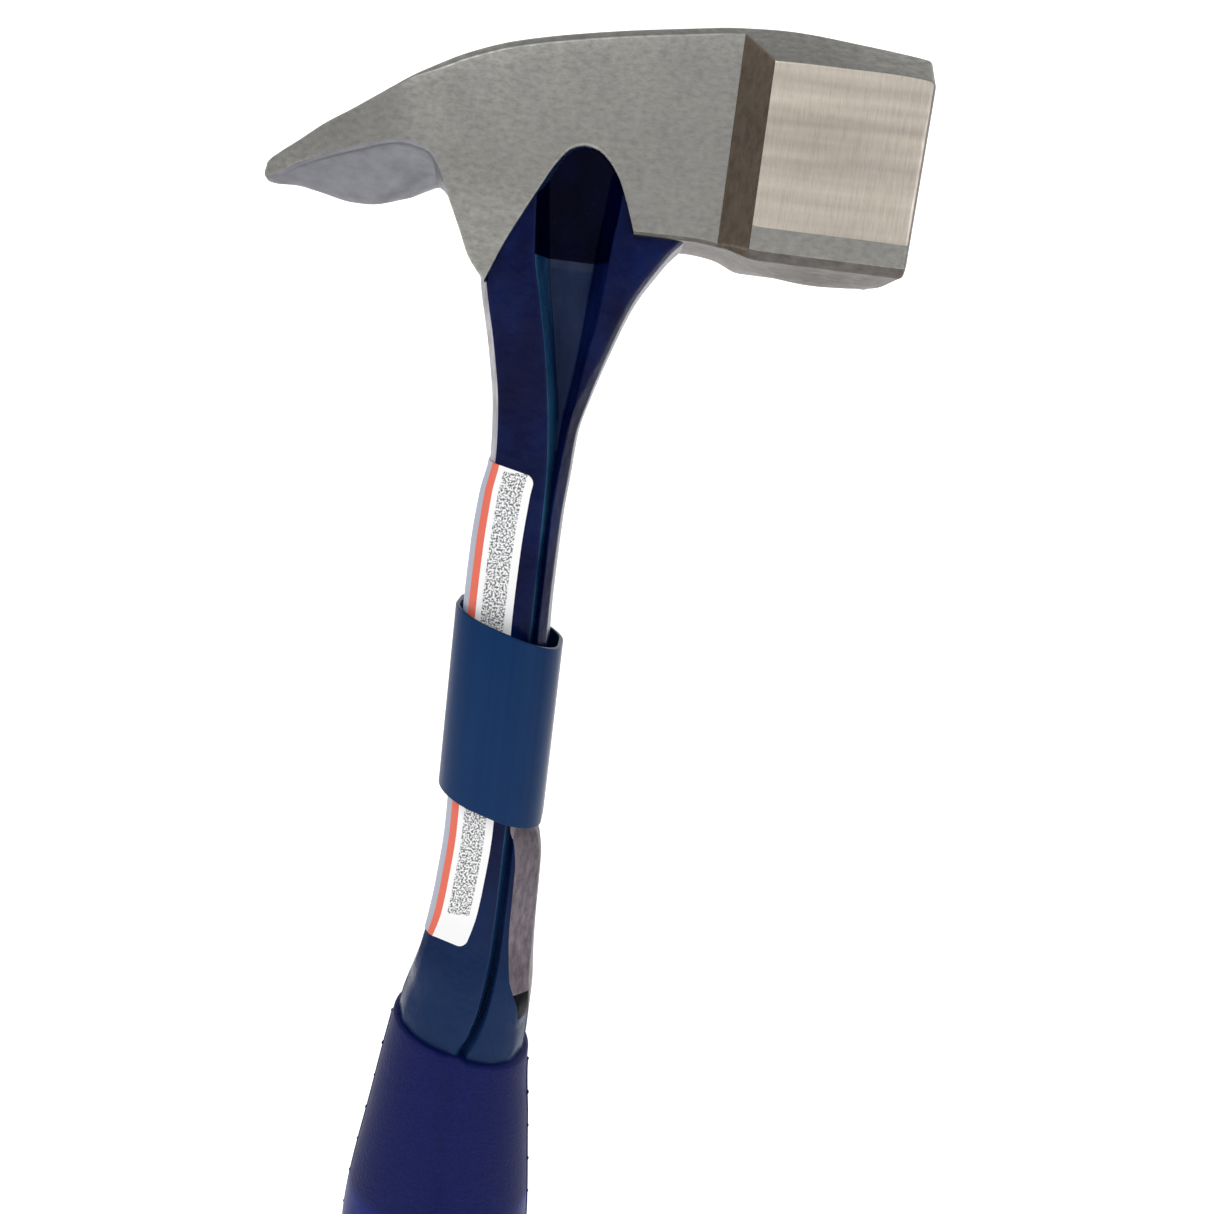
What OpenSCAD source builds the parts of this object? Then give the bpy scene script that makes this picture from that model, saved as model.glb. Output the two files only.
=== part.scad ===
// One-piece forged hammer: square poll, pointed end, I-section shank and a moulded grip.
// Origin: centre of the striking face. +X points out of the face, +Z towards the top of the head.
// Units are millimetres.

/* [Head] */
// Length of the head from the striking face to the tip of the point
head_l = 103.5; // [100:0.5:108]
// Width of the square poll
poll_w = 32; // [30:0.5:34]
// Depth of the poll below the centre of the face
poll_drop = 16.6; // [16:0.1:17.5]
// Length of the poll block, from its rear bevel to the face
block_l = 24.2; // [22:0.2:26]
// Chamfer along the two upper edges of the poll block
top_chamfer = 5; // [3:0.5:6]
// Chamfer along the two lower edges of the poll block
bottom_chamfer = 1.5; // [0.5:0.5:3]
// Bevel round the striking face
face_bevel = 0.9; // [0.5:0.1:1.5]
// Thickness of the head across its flat cheeks
cheek_t = 24; // [23:0.5:25]
// Greatest height of the head's back above the centre of the face
crest_h = 17.4; // [17:0.1:18]
// Width of the blunt tip
tip_w = 3; // [2:0.5:4]

/* [Shank] */
// Distance of the shank's axis behind the striking face
shank_back = 55; // [54.5:0.1:55.5]
// Thickness of the shank's two flanges
flange_t = 13.2; // [12.8:0.1:13.4]
// Thickness of the web between the flanges
web_t = 6; // [4:0.5:8]
// Width of the set-back crown along both edges of the shank
crown_w = 1.2; // [1:0.1:1.6]
// Thickness of the shank across the crowns
crown_t = 10; // [9:0.5:10]
// Width of the narrow groove in each side of the shank
groove_w = 2.2; // [1.6:0.1:3]

/* [Grip] */
// Length of the grip, measured at its back
grip_l = 135; // [125:1:140]
// Slope of the grip's top rim and of the band's two ends
rim_slope = 14; // [10:0.5:15]
// Slope of the band's two ends
band_slope = 17;
// Thickness of the closed butt end under the tang
butt_t = 7; // [5:0.5:9]

/* [Label] */
// Thickness of the paper label
label_t = 0.2; // [0.15:0.05:0.25]
// Length of the label along the shank
label_l = 88; // [80:1:90]

/* [Band] */
// Outside width of the loose band, front to back
band_w = 19.1; // [19:0.1:19.5]
// Outside thickness of the loose band
band_d = 21; // [20.8:0.1:21.5]
// Length of the loose band along the shank
band_l = 33; // [28:0.5:34]
// Wall thickness of the loose band
band_wall = 0.8; // [0.6:0.1:0.9]

/* [Hidden] */

// Spans of a curve, and a reach past every side of the hammer
steps = 14;
far = 60;
// Plane beyond the near side, from which the recess is cut
near_side = -far - 10;
// Back corner of the scoop under the arch
scoop_back = -57.6;
// Front corner of the scoop under the arch
scoop_front = -44.4;

shank_x = -shank_back;
cheek_y = cheek_t / 2;
flange_y = flange_t / 2;
web_y = web_t / 2;
block_x = -block_l;
bevel_x = block_x - 4.7;
face_top = 15.6;
taper_x = -79.5;

// Height levels on the handle
grip_top = -157.1;
grip_end = grip_top - grip_l;
label_top = -51.5;
band_top = -78;
band_x = shank_x - 0.55;
web_top = -19.2;
scoop_mid = -8.2;
groove_end = -150;

// ---------- curves ----------

// A cubic curve from a to d, leaving towards b and arriving from c
function bezier(a, b, c, d) = [
    for (i = [0 : steps])
        let (t = i / steps, s = 1 - t)
        s * s * s * a + 3 * s * s * t * b + 3 * s * t * t * c + t * t * t * d
];

// One span of a smooth curve through p1 and p2
function span_point(p0, p1, p2, p3, t) =
    0.5 * (2 * p1 + (p2 - p0) * t
        + (2 * p0 - 5 * p1 + 4 * p2 - p3) * t * t
        + (3 * p1 - p0 - 3 * p2 + p3) * t * t * t);

// A smooth curve through every point of a list
function smooth(p, n = 4) = [
    for (i = [0 : len(p) - 2])
        for (k = [0 : (i == len(p) - 2 ? n : n - 1)])
            span_point(p[max(i - 1, 0)], p[i], p[i + 1], p[min(i + 2, len(p) - 1)], k / n)
];

function reversed(p) = [for (i = [len(p) - 1 : -1 : 0]) p[i]];

function shifted(p, dx) = [for (q = p) [q[0] + dx, q[1]]];

// Points between two heights
function between(p, low, high) = [for (q = p) if (q[1] >= low && q[1] <= high) q];

// ---------- outlines seen from the side, as [x, z] ----------

crest = [-22, crest_h];
crest_fore = crest + [11, -0.5];
tip_top = [-head_l + 1.6, -8.9];
tip_low = [-head_l + 0.3, -11.9];

back_of_head = bezier(crest, [-50, crest_h], [-79, 8], tip_top);
nose = bezier(tip_top, [-head_l - 0.2, -10.2], [-head_l - 0.3, -11.5], tip_low);

// The cheek's lower edge, from the tip to the tail where it meets the back of the shank
tail = [shank_x - 9.7, -24.4];
cheek_edge = smooth([
    tip_low, [-91.4, -7.7], [-79.5, -5.1], [-75.3, -5.6],
    [-72.9, -8.6], [-71.2, -13], [-68.4, -18], tail
]);

// The arch under the cheek, from the tail over its crown to the head's underside
arch_crown = [-51, -2.6];
arch_foot = [-42, -16.3];
arch = concat(
    bezier(tail, [-61.5, -17], [-55.5, arch_crown[1]], arch_crown),
    bezier(arch_crown, [-46.5, arch_crown[1]], [-43.6, -9], arch_foot)
);

// The two edges of the shank, from the head down to the tang
back_edge = smooth([
    [shank_x - 13, -8], [shank_x - 9.6, -24.5], [shank_x - 7.8, -34.4],
    [shank_x - 6.2, -44], [shank_x - 5.9, -52], [shank_x - 7.2, -67],
    [shank_x - 7.8, -90], [shank_x - 8.4, -120], [shank_x - 9, -135],
    [shank_x - 11.6, -146], [shank_x - 13.2, -156], [shank_x - 11.4, -166],
    [shank_x - 10, -178]
]);
front_edge = smooth([
    [-33, -12], [-37.2, -17.2], [-41.7, -24.8], [-44.6, -33],
    [-46.9, -40.5], [-48.4, -47.3], [-49.1, -58], [-49.3, -72],
    [-48.7, -90], [-47.4, -115], [-46.5, -124], [-46.1, -138],
    [-45.4, -150], [-45, -158], [-45.4, -166], [-46, -178]
]);

// The two edges of the wide recess in the shank's side
recess_back = smooth([
    [scoop_back, -8], [-57, -19], [-55.8, -25], [-53.9, -34],
    [-52.2, -46], [-51.3, -56], [-51.2, -80], [-51.9, -115], [-52, groove_end]
]);

// ---------- helpers ----------

// Extrudes an [x, z] outline to y on both sides of the middle plane
module side_plate(points, y) {
    rotate([90, 0, 0])
        linear_extrude(height = 2 * y, center = true)
            polygon(points);
}

// Extrudes an [x, y] outline over the whole height
module plan_prism(points) {
    linear_extrude(height = 2 * far, center = true)
        polygon(points);
}

// Extrudes a [y, z] outline from x0 to x1
module section_bar(points, x0, x1) {
    translate([x0, 0, 0])
        rotate([90, 0, 90])
            linear_extrude(height = x1 - x0)
                polygon(points);
}

// A thin [y, z] triangle at x, which the point's keel is hulled from
module keel_section(x, half_w, top_z, keel_z) {
    section_bar([[-half_w, top_z], [half_w, top_z], [0, keel_z]], x, x + 0.1);
}

// ---------- forging ----------

module head_plate() {
    side_plate(concat(
        [[0, face_top], crest_fore],
        back_of_head,
        nose,
        cheek_edge,
        arch,
        [[0, arch_foot[1]]]
    ), far);
}

// Cheeks and the tapering point
module cheeks() {
    tip_y = tip_w / 2;
    intersection() {
        head_plate();
        plan_prism([
            [-head_l - 1, -tip_y], [taper_x, -cheek_y], [block_x, -cheek_y],
            [block_x, cheek_y], [taper_x, cheek_y], [-head_l - 1, tip_y]
        ]);
    }
}

// Poll block: wider than the cheeks, chamfered along its length and bevelled at the face
module poll_block() {
    y = poll_w / 2;
    top = crest_h + 0.1;
    intersection() {
        side_plate([
            [0, -poll_drop], [0, face_top], crest_fore, crest, [bevel_x - 1, crest_h - 0.5],
            [bevel_x - 1, -poll_drop]
        ], far);
        plan_prism([
            [bevel_x - 1, -cheek_y], [bevel_x, -cheek_y], [block_x, -y], [-face_bevel, -y],
            [0, -y + face_bevel], [0, y - face_bevel], [-face_bevel, y], [block_x, y],
            [bevel_x, cheek_y], [bevel_x - 1, cheek_y]
        ]);
        section_bar([
            [-y, -poll_drop + bottom_chamfer], [-y, top - top_chamfer - 1],
            [-y + top_chamfer, top], [y - top_chamfer, top],
            [y, top - top_chamfer - 1], [y, -poll_drop + bottom_chamfer],
            [y - bottom_chamfer, -poll_drop], [-y + bottom_chamfer, -poll_drop]
        ], bevel_x - 2, 0.5);
        section_bevel(y);
    }
}

// Bevels the top and bottom edges of the striking face
module section_bevel(y) {
    side_plate([
        [-far, -poll_drop - 1], [-face_bevel, -poll_drop - 1], [-face_bevel, -poll_drop],
        [0, -poll_drop + face_bevel], [0, face_top - face_bevel], [-face_bevel, face_top],
        [-face_bevel - 1, crest_h + 1], [-far, crest_h + 1]
    ], y + 1);
}

// The keel under the point, which runs back into the root
module keel() {
    hull() {
        keel_section(-head_l + 0.4, tip_w / 2, -10.5, -12);
        keel_section(-84, 9.6, -6, -13.2);
    }
    hull() {
        keel_section(-84, 9.6, -6, -13.2);
        keel_section(taper_x, 11.6, -5, -12.6);
    }
    hull() {
        keel_section(taper_x, 11.6, -5, -12.6);
        keel_section(-72, 11.6, -5, -8.6);
    }
}

// The shank's flanges at full thickness, with thinner crowned edges
module crowned_bar() {
    inner_front = shifted(front_edge, -crown_w);
    side_plate(concat(back_edge, reversed(front_edge)), crown_t / 2);
    side_plate(concat(shifted(back_edge, crown_w), reversed(inner_front)), flange_y);
}

// Shank and the tang that runs down inside the grip
module shank() {
    shank_end = [for (p = [back_edge, front_edge]) p[len(p) - 1]];
    tang_end = grip_end + butt_t;
    crowned_bar();
    side_plate([
        shank_end[0] + [0, 1], shank_end[1] + [0, 1],
        [shank_x + 5, tang_end + 1], [shank_x + 4, tang_end],
        [shank_x - 10, tang_end], [shank_x - 11, tang_end + 1]
    ], web_y + 1);
}

// Recess and groove in one side of the shank, mirrored for the other side
module side_recess() {
    wall = web_y;
    recess_front = concat(
        [[scoop_front, -8], [-46, -18], [-47.4, -34]],
        shifted(between(recess_back, groove_end, -46), groove_w)
    );
    intersection() {
        side_plate(concat(recess_back, reversed(recess_front)), far);
        section_bar([
            [-wall, groove_end - 1], [-wall, web_top], [-wall - 5, -5],
            [-far, -5], [-far, groove_end - 1]
        ], near_side, 0);
    }
    // Scoop between the recess and the arch's crown
    intersection() {
        side_plate(concat(
            [[scoop_back, scoop_mid]],
            [for (q = between(arch, scoop_mid, arch_crown[1])) if (q[0] > scoop_back && q[0] < scoop_front) q],
            [[scoop_front, scoop_mid]]
        ), far);
        section_bar([
            [-wall - 3.2, -9], [-cheek_y, arch_crown[1]], [-far, arch_crown[1]], [-far, -9]
        ], near_side, 0);
    }
}

module forged_body() {
    color("silver")
    difference() {
        union() {
            cheeks();
            poll_block();
            keel();
            shank();
            // Core of the neck, which closes the arch behind the recess
            side_plate(concat(arch, [[-37.2, -17.2], [-50, -26]]), flange_y);
        }
        side_recess();
        mirror([0, 1, 0]) side_recess();
    }
}

// ---------- grip ----------

// A thin rounded slice of the grip between back and front, at height z
module grip_slice(z, back, front, half_y) {
    half_x = (front - back) / 2;
    translate([(front + back) / 2, 0, z])
        scale([half_x / half_y, 1, 1])
            cylinder(r = half_y, h = 0.2, $fn = 36);
}

module grip_outside() {
    slices = [
        [grip_top + 6, -68.7, -44, 12.2], [grip_top - 19, -72.5, -42.3, 13],
        [grip_top - 49, -76, -39.9, 14.5], [grip_top - 68, -75.5, -40.5, 14.5],
        [grip_top - 95, -72.5, -42.5, 13.6], [grip_end + 12, -76, -39, 15.4],
        [grip_end, -72.5, -42.5, 12]
    ];
    for (i = [0 : len(slices) - 2])
        hull()
            for (s = [slices[i], slices[i + 1]])
                grip_slice(s[0], s[1], s[2], s[3]);
}

module moulded_grip() {
    rise = tan(rim_slope) * far;
    rim_x = -69.5;
    color("midnightblue")
    difference() {
        intersection() {
            grip_outside();
            side_plate([
                [rim_x - far, grip_top + rise], [rim_x + far, grip_top - rise],
                [rim_x + far, grip_end - 1], [rim_x - far, grip_end - 1]
            ], far);
        }
        difference() {
            shank();
            side_recess();
            mirror([0, 1, 0]) side_recess();
        }
    }
}

// ---------- label ----------

// The label's side outline, with its back edge dx from the shank's, out to y on both sides
module label_plate(dx, y) {
    low = label_top - label_l;
    wrapped = between(back_edge, low, label_top);
    side_plate(concat(
        [[wrapped[0][0] + dx, label_top]],
        shifted(wrapped, dx),
        [[scoop_back, low], [-55.8, low + 3], [-54.4, low + 25], [-53.8, -82]],
        [[-53.8, label_top - 3], [-55.2, label_top]]
    ), y);
}

// Paper label wrapped round the back flange, with both long edges on the flange's sides
module neck_label() {
    color("white")
    difference() {
        union() {
            label_plate(-label_t, crown_t / 2 + label_t);
            label_plate(crown_w - label_t, flange_y + label_t);
        }
        crowned_bar();
    }
}

// ---------- band ----------

// Outline of the band's section, rounded at its corners
module band_section(w, d, r) {
    for (x = [-1, 1])
        for (y = [-1, 1])
            translate([x * (w / 2 - r), y * (d / 2 - r)])
                circle(r = r, $fn = 48);
    square([w - 2 * r, d], center = true);
    square([w, d - 2 * r], center = true);
}

module loose_band() {
    corner = 8;
    drop = tan(band_slope) * band_w;
    left = band_x - band_w / 2;
    right = band_x + band_w / 2;
    color("steelblue")
    intersection() {
        translate([band_x, 0, band_top - band_l - drop])
            linear_extrude(height = band_l + drop)
                difference() {
                    band_section(band_w, band_d, corner);
                    band_section(band_w - 2 * band_wall, band_d - 2 * band_wall, corner - band_wall);
                }
        side_plate([
            [left, band_top], [right, band_top - drop],
            [right, band_top - drop - band_l], [left, band_top - band_l]
        ], far);
    }
}

forged_body();
moulded_grip();
neck_label();
loose_band();
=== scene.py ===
"""A one-piece forged hammer: pointed head, enamelled shank, vinyl grip, paper label and a loose band.

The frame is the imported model's own: the origin is the centre of the striking face, +X points out of
the face and +Z towards the top of the head. Sizes are millimetres until a mesh is made. Along the head,
a station is a distance behind the face, and along the shank it is a drop below the face's centre.
"""

import logging
import math
from dataclasses import dataclass
from enum import Enum
from typing import Callable, Sequence

import bmesh
import bpy
from mathutils import Matrix, Vector


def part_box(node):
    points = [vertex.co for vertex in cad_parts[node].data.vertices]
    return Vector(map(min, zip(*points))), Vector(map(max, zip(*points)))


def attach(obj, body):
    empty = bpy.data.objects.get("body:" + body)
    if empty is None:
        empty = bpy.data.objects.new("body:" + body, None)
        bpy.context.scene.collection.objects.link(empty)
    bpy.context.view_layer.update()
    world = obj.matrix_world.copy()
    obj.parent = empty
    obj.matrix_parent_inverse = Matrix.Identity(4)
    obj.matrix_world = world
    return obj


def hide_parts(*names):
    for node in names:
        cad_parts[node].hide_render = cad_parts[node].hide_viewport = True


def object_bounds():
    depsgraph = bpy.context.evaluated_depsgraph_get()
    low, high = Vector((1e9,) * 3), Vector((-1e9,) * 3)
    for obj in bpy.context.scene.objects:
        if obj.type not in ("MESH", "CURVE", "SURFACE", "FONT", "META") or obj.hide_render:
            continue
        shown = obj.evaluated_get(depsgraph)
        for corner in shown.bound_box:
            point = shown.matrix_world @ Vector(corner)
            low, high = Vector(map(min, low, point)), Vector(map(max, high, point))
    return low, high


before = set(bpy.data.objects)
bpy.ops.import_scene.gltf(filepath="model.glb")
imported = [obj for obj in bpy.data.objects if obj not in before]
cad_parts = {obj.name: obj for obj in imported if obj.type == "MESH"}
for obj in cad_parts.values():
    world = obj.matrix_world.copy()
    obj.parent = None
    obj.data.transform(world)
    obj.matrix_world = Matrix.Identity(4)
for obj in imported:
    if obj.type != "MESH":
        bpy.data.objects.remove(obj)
CAD_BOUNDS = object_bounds()

MM = 0.001
SHANK_AXIS = -56.6
RIM_SLOPE = 0.249
GRIP_TOP = 160.0
LOG = logging.getLogger("hammer")

Colour = tuple[float, float, float, float]
Knots = tuple[tuple[float, float], ...]


class Finish(Enum):
    """The finishes that the forging wears, in the order of its material slots; some are lighter or darker
    copies of the steel and the enamel that paint light and shade.
    """

    CHEEK = 0
    # Brushed poll steel painted much lighter, with broad horizontal streaks: painted reflection.
    POLL_SIDE = 1
    # Darker copy of the steel on the bevel behind the poll: a painted dark reflection.
    NECK_BEVEL = 2
    UNDERSIDE = 3
    CROWN = 4
    # Darker copy of the steel on the bare front bevel: a painted dark reflection.
    STRIP = 5
    # Darker copy of the steel under the poll: painted shade.
    POLL_UNDER = 6
    ENAMEL = 7
    # Near-black enamel: painted shade in the scoop under the arch, on the arch's downward faces and in a
    # patch below the front bevel.
    PAINTED_SHADE = 8
    # Bright teal copy of the enamel on the recess's back wall: a painted highlight along the ridge.
    THIN = 9
    # Lighter grey-blue copy of the enamel: painted light on the web panel and on the arch's lip.
    PAINTED_LIGHT = 10


# ---------- curves and solids ----------


@dataclass(frozen=True)
class Profile:
    """A size that changes along the hammer, drawn smoothly through knots without overshoot.

    Attributes:
        knots: (station, value) pairs, with the stations ascending.
        corners: Stations at which the curve turns sharply.
    """

    knots: Knots
    corners: tuple[float, ...] = ()

    def at(self, station: float) -> float:
        """Value at a station, held constant past both ends."""
        knots = self.knots
        if station <= knots[0][0]:
            return knots[0][1]
        if station >= knots[-1][0]:
            return knots[-1][1]
        i = max(k for k in range(len(knots) - 1) if knots[k][0] <= station)
        span = knots[i + 1][0] - knots[i][0]
        t = (station - knots[i][0]) / span
        leave = self._slope(i, i) * span
        arrive = self._slope(i + 1, i) * span
        return (
            (2 * t**3 - 3 * t**2 + 1) * knots[i][1] + (t**3 - 2 * t**2 + t) * leave
            + (3 * t**2 - 2 * t**3) * knots[i + 1][1] + (t**3 - t**2) * arrive
        )

    def _rise(self, i: int) -> float:
        """Straight slope of the span after a knot."""
        (a, low), (b, high) = self.knots[i], self.knots[i + 1]
        return (high - low) / (b - a)

    def _slope(self, i: int, span: int) -> float:
        """Slope at a knot, seen from one of its spans.

        Args:
            i: The knot.
            span: The span that asks, which has the corner to itself where the curve turns sharply.

        Returns:
            The slope, zero at a crest.
        """
        if i in (0, len(self.knots) - 1) or self.knots[i][0] in self.corners:
            return self._rise(span)
        before, after = self._rise(i - 1), self._rise(i)
        if before * after <= 0:
            return 0.0
        return 2 * before * after / (before + after)


def smoothstep(t: float) -> float:
    """Eased share from 0 to 1."""
    t = min(max(t, 0.0), 1.0)
    return t * t * (3 - 2 * t)


def rounded(corners: Sequence[tuple[float, float, float]], steps: int = 4) -> list[Vector]:
    """Round the corners of an open chain.

    Args:
        corners: (a, b, radius) of each corner, from one end of the chain to the other.
        steps: Spans in each round.

    Returns:
        The chain's points, as many for any chain of as many corners.
    """
    places = [Vector(c[:2]) for c in corners]
    points = [places[0]]
    for i in range(1, len(corners) - 1):
        here, radius = places[i], corners[i][2]
        ends = []
        for other in (places[i - 1], places[i + 1]):
            reach = (other - here).length
            ends.append(here + (other - here) * min(radius / max(reach, 1e-6), 0.48))
        for k in range(steps + 1):
            t = k / steps
            points.append(ends[0] * (1 - t) ** 2 + here * 2 * t * (1 - t) + ends[1] * t * t)
    points.append(places[-1])
    return points


def even_stations(profiles: Sequence[Profile], start: float, end: float, step: float) -> list[float]:
    """Stations that lie close together wherever one of the profiles climbs.

    Args:
        profiles: The profiles that the stations have to follow.
        start: First station.
        end: Last station.
        step: Longest stretch of any profile between two stations.

    Returns:
        The stations, both ends and every sharp corner included.
    """
    fine = 0.05
    keep = {start, end} | {c for p in profiles for c in p.corners if start < c < end}
    stations, run = [start], 0.0
    count = round((end - start) / fine)
    last = [p.at(start) for p in profiles]
    for i in range(1, count + 1):
        here = start + i * fine
        values = [p.at(here) for p in profiles]
        run += math.hypot(fine, max(abs(a - b) for a, b in zip(values, last)))
        last = values
        corner = any(abs(here - c) < fine / 2 for c in keep)
        if run >= step or corner:
            stations.append(here)
            run = 0.0
    return stations


def mirrored(half: Sequence[Vector]) -> list[Vector]:
    """Closed ring from the half with positive y, whose two ends lie on the middle plane."""
    return list(half) + [Vector((p.x, -p.y, p.z)) for p in reversed(half[1:-1])]


def loft(name: str, rings: Sequence[Sequence[Vector]]) -> bpy.types.Object:
    """Join a stack of rings into a closed solid.

    Args:
        name: Name of the object and its mesh.
        rings: Rings of as many points each, in millimetres.

    Returns:
        The object, in metres, with its normals outward.
    """
    count = len(rings[0])
    faces = [tuple(reversed(range(count)))]
    for i in range(len(rings) - 1):
        for j in range(count):
            k = (j + 1) % count
            faces.append((i * count + j, i * count + k, (i + 1) * count + k, (i + 1) * count + j))
    faces.append(tuple(range((len(rings) - 1) * count, len(rings) * count)))
    mesh = bpy.data.meshes.new(name)
    mesh.from_pydata([p * MM for ring in rings for p in ring], [], faces)
    return solid(name, mesh)


def solid(name: str, mesh: bpy.types.Mesh) -> bpy.types.Object:
    """Object of a closed mesh, with doubles merged and normals outward."""
    work = bmesh.new()
    work.from_mesh(mesh)
    bmesh.ops.remove_doubles(work, verts=work.verts, dist=1e-7)
    bmesh.ops.recalc_face_normals(work, faces=work.faces)
    work.to_mesh(mesh)
    work.free()
    made = bpy.data.objects.new(name, mesh)
    bpy.context.scene.collection.objects.link(made)
    return made


def combine(
    base: bpy.types.Object, tool: bpy.types.Object, operation: str, crossed: bool = False
) -> None:
    """Work an exact boolean into a solid.

    Args:
        base: The solid that is changed.
        tool: The other solid, which stays as it is.
        operation: UNION or DIFFERENCE.
        crossed: True if the tool's own parts pass through each other.
    """
    step = base.modifiers.new(operation.lower(), "BOOLEAN")
    step.operation = operation
    step.solver = "EXACT"
    step.material_mode = "TRANSFER"
    step.use_self = crossed
    step.object = tool
    bake_modifiers(base)


def bake_modifiers(piece: bpy.types.Object) -> None:
    """Turn a piece's modifiers into its plain mesh."""
    bpy.context.view_layer.update()
    graph = bpy.context.evaluated_depsgraph_get()
    mesh = bpy.data.meshes.new_from_object(piece.evaluated_get(graph))
    piece.modifiers.clear()
    piece.data = mesh


def shade(piece: bpy.types.Object, degrees: float) -> None:
    """Smooth shading with edges past an angle kept sharp."""
    piece.data.shade_smooth()
    piece.data.set_sharp_from_angle(angle=math.radians(degrees))


def set_inputs(modifier: bpy.types.Modifier, values: dict[str, float]) -> None:
    """Set a node modifier's inputs by the identifiers of their sockets.

    Args:
        modifier: The Geometry Nodes modifier.
        values: A value for each input's name.
    """
    for item in modifier.node_group.interface.items_tree:
        if item.item_type == "SOCKET" and item.in_out == "INPUT" and item.name in values:
            modifier[item.identifier] = values[item.name]


# ---------- the forging ----------


@dataclass(frozen=True)
class Head:
    """The ground head: a square poll, flat cheeks and a tapering point over a keel.

    Attributes:
        length: From the striking face to the tip.
        top: Height of the head's back.
        under: Height of its lower edge, which drops to the tail and rises into the arch.
        half_width: Half the width of its sides.
        keel: How far the middle of its underside hangs below the edges.
        edge: Width of the broken edge along the cheeks.
        chamfer_flat: Half width that the flat on top keeps between the poll's chamfers.
        face_round: Radius round the striking face.
        lean: How much the cheek closes in towards the tail.
        block: Station at which the poll's square block ends.
        neck: Station at which the bevel behind the block ends.
        wing: Station at which the arch begins.
        tail: Station of the tail's lowest point.
        point: Station at which the point's underside begins.
        brushed_sheen_low: Height down to which the poll's side is brushed and painted with a lighter,
            streaked reflection.
    """

    length: float
    top: Profile = Profile((
        (0, 15.6), (2, 15.9), (10.7, 16.7), (22, 17.4), (30.3, 17.0), (35.8, 16.3), (48.6, 14.4),
        (62.8, 11.5), (70.1, 9.0), (76, 6.1), (82.5, 2.5), (88, -0.5), (92.8, -2.9), (97.5, -5.8),
        (101.4, -8.1), (102.8, -9.0), (103.3, -9.7), (103.5, -10.5)))
    under: Profile = Profile((
        (0, -16.6), (23, -16.5), (28, -15.1), (33, -14.6), (42, -14.7), (42.9, -12.2), (43.9, -9.7),
        (45.2, -6.9), (47.1, -4.4), (49, -3.0), (50.9, -2.6), (53, -3.3), (55, -5.6),
        (57.2, -9.4), (59.6, -13.7), (62.1, -18.4), (64.7, -24.4), (67.6, -20.8), (69.2, -17.2),
        (71.9, -11.3), (73.4, -8.1), (75.2, -6.0), (79.5, -5.2), (86.8, -6.7), (91.4, -7.9),
        (96.9, -9.7), (103, -12.1), (103.5, -11.5)), corners=(42, 64.7))
    half_width: Profile = Profile(
        ((0, 16), (24.2, 16), (28.9, 12), (72, 12), (78, 11.4), (84, 9.6), (95, 5.3), (102.3, 2.2),
         (103.1, 1.7), (103.5, 1.1)), corners=(24.2, 28.9))
    keel: Profile = Profile((
        (0, 0.3), (6, 1.2), (12, 1.5), (18, 1.0), (26, 0), (66, 0), (69, 0.8), (72, 2.1), (75, 3.8),
        (77.4, 5.6), (80, 7.1), (84, 7.6), (88.6, 6.8), (95, 3.8), (100, 1.2), (103, 0.1)))
    edge: float = 0.4
    chamfer_flat: float = 11.0
    face_round: float = 0.9
    lean: float = 1.7
    block: float = 24.2
    neck: float = 28.9
    wing: float = 42.0
    tail: float = 64.7
    point: float = 72.0
    brushed_sheen_low: float = -11.8

    def cheek_lean(self, station: float, height: float) -> float:
        """How far the cheek has closed in at a place behind the arch."""
        low = smoothstep((-5.0 - height) / 19.0)
        return self.lean * low * smoothstep((station - 50.0) / 14.0)

    def section(self, station: float) -> list[Vector]:
        """Half section at a station, from the middle of the top to the middle of the underside."""
        into = max(self.face_round - station, 0.0)
        shrink = self.face_round - math.sqrt(max(self.face_round**2 - into**2, 0.0))
        width = self.half_width.at(station) - shrink
        top = self.top.at(station) - shrink
        under = self.under.at(station) + shrink
        tall = top - under
        steep = 0.82 + 0.28 * smoothstep(station / 24)
        side_cut = min(max(width + shrink - self.chamfer_flat, self.edge), 0.4 * width)
        top_cut = min(side_cut * steep, 0.35 * tall)
        low_cut = min(self.edge + 0.2 * max(width - 12, 0), 0.3 * tall, 0.3 * width)
        soft = min(0.3, 0.1 * tall)
        chain = rounded([
            (0, top, 0), (width - side_cut, top, soft), (width, top - top_cut, soft),
            (width, under + low_cut, soft), (width - low_cut, under, soft), (0, under, 0)])
        arc = 5
        upper, lower, belly = chain[: 1 + 2 * arc], chain[1 + 2 * arc: 1 + 4 * arc], chain[-1]
        side = [upper[-1].lerp(lower[0], k / 8) for k in range(1, 8)]
        below = [lower[-1].lerp(belly, k / 10) for k in range(1, 11)]
        sag = self.keel.at(station)
        edge_y = lower[-1].x
        points = upper + side + lower + below
        ring = []
        for p in points:
            hang = sag * smoothstep(1 - p.x / edge_y) if p in below else 0.0
            y = p.x - self.cheek_lean(station, p.y) * p.x / width
            ring.append(Vector((-station, y, p.y - hang)))
        return ring

    def build(self) -> bpy.types.Object:
        """Loft the head, each face with its own finish."""
        bends = (self.top, self.under, self.half_width, self.keel)
        stations = even_stations(bends, 0.0, self.length, 1.1)
        stations = sorted(set(stations) | {0.1, 0.25, 0.45, 0.7, 0.9, 24.0, 24.4, 28.7, 29.1})
        head = loft("head", [mirrored(self.section(s)) for s in stations])
        dress_faces(head, self.finish_at)
        return head

    def finish_at(self, centre: Vector, normal: Vector) -> Finish:
        """Finish of the face at a place on the head."""
        station = -centre.x
        # The bevel behind the poll gets darker steel: a painted dark reflection.
        if abs(normal.y) > 0.5 and self.block < station < self.neck and normal.x < -0.3:
            return Finish.NECK_BEVEL
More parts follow.
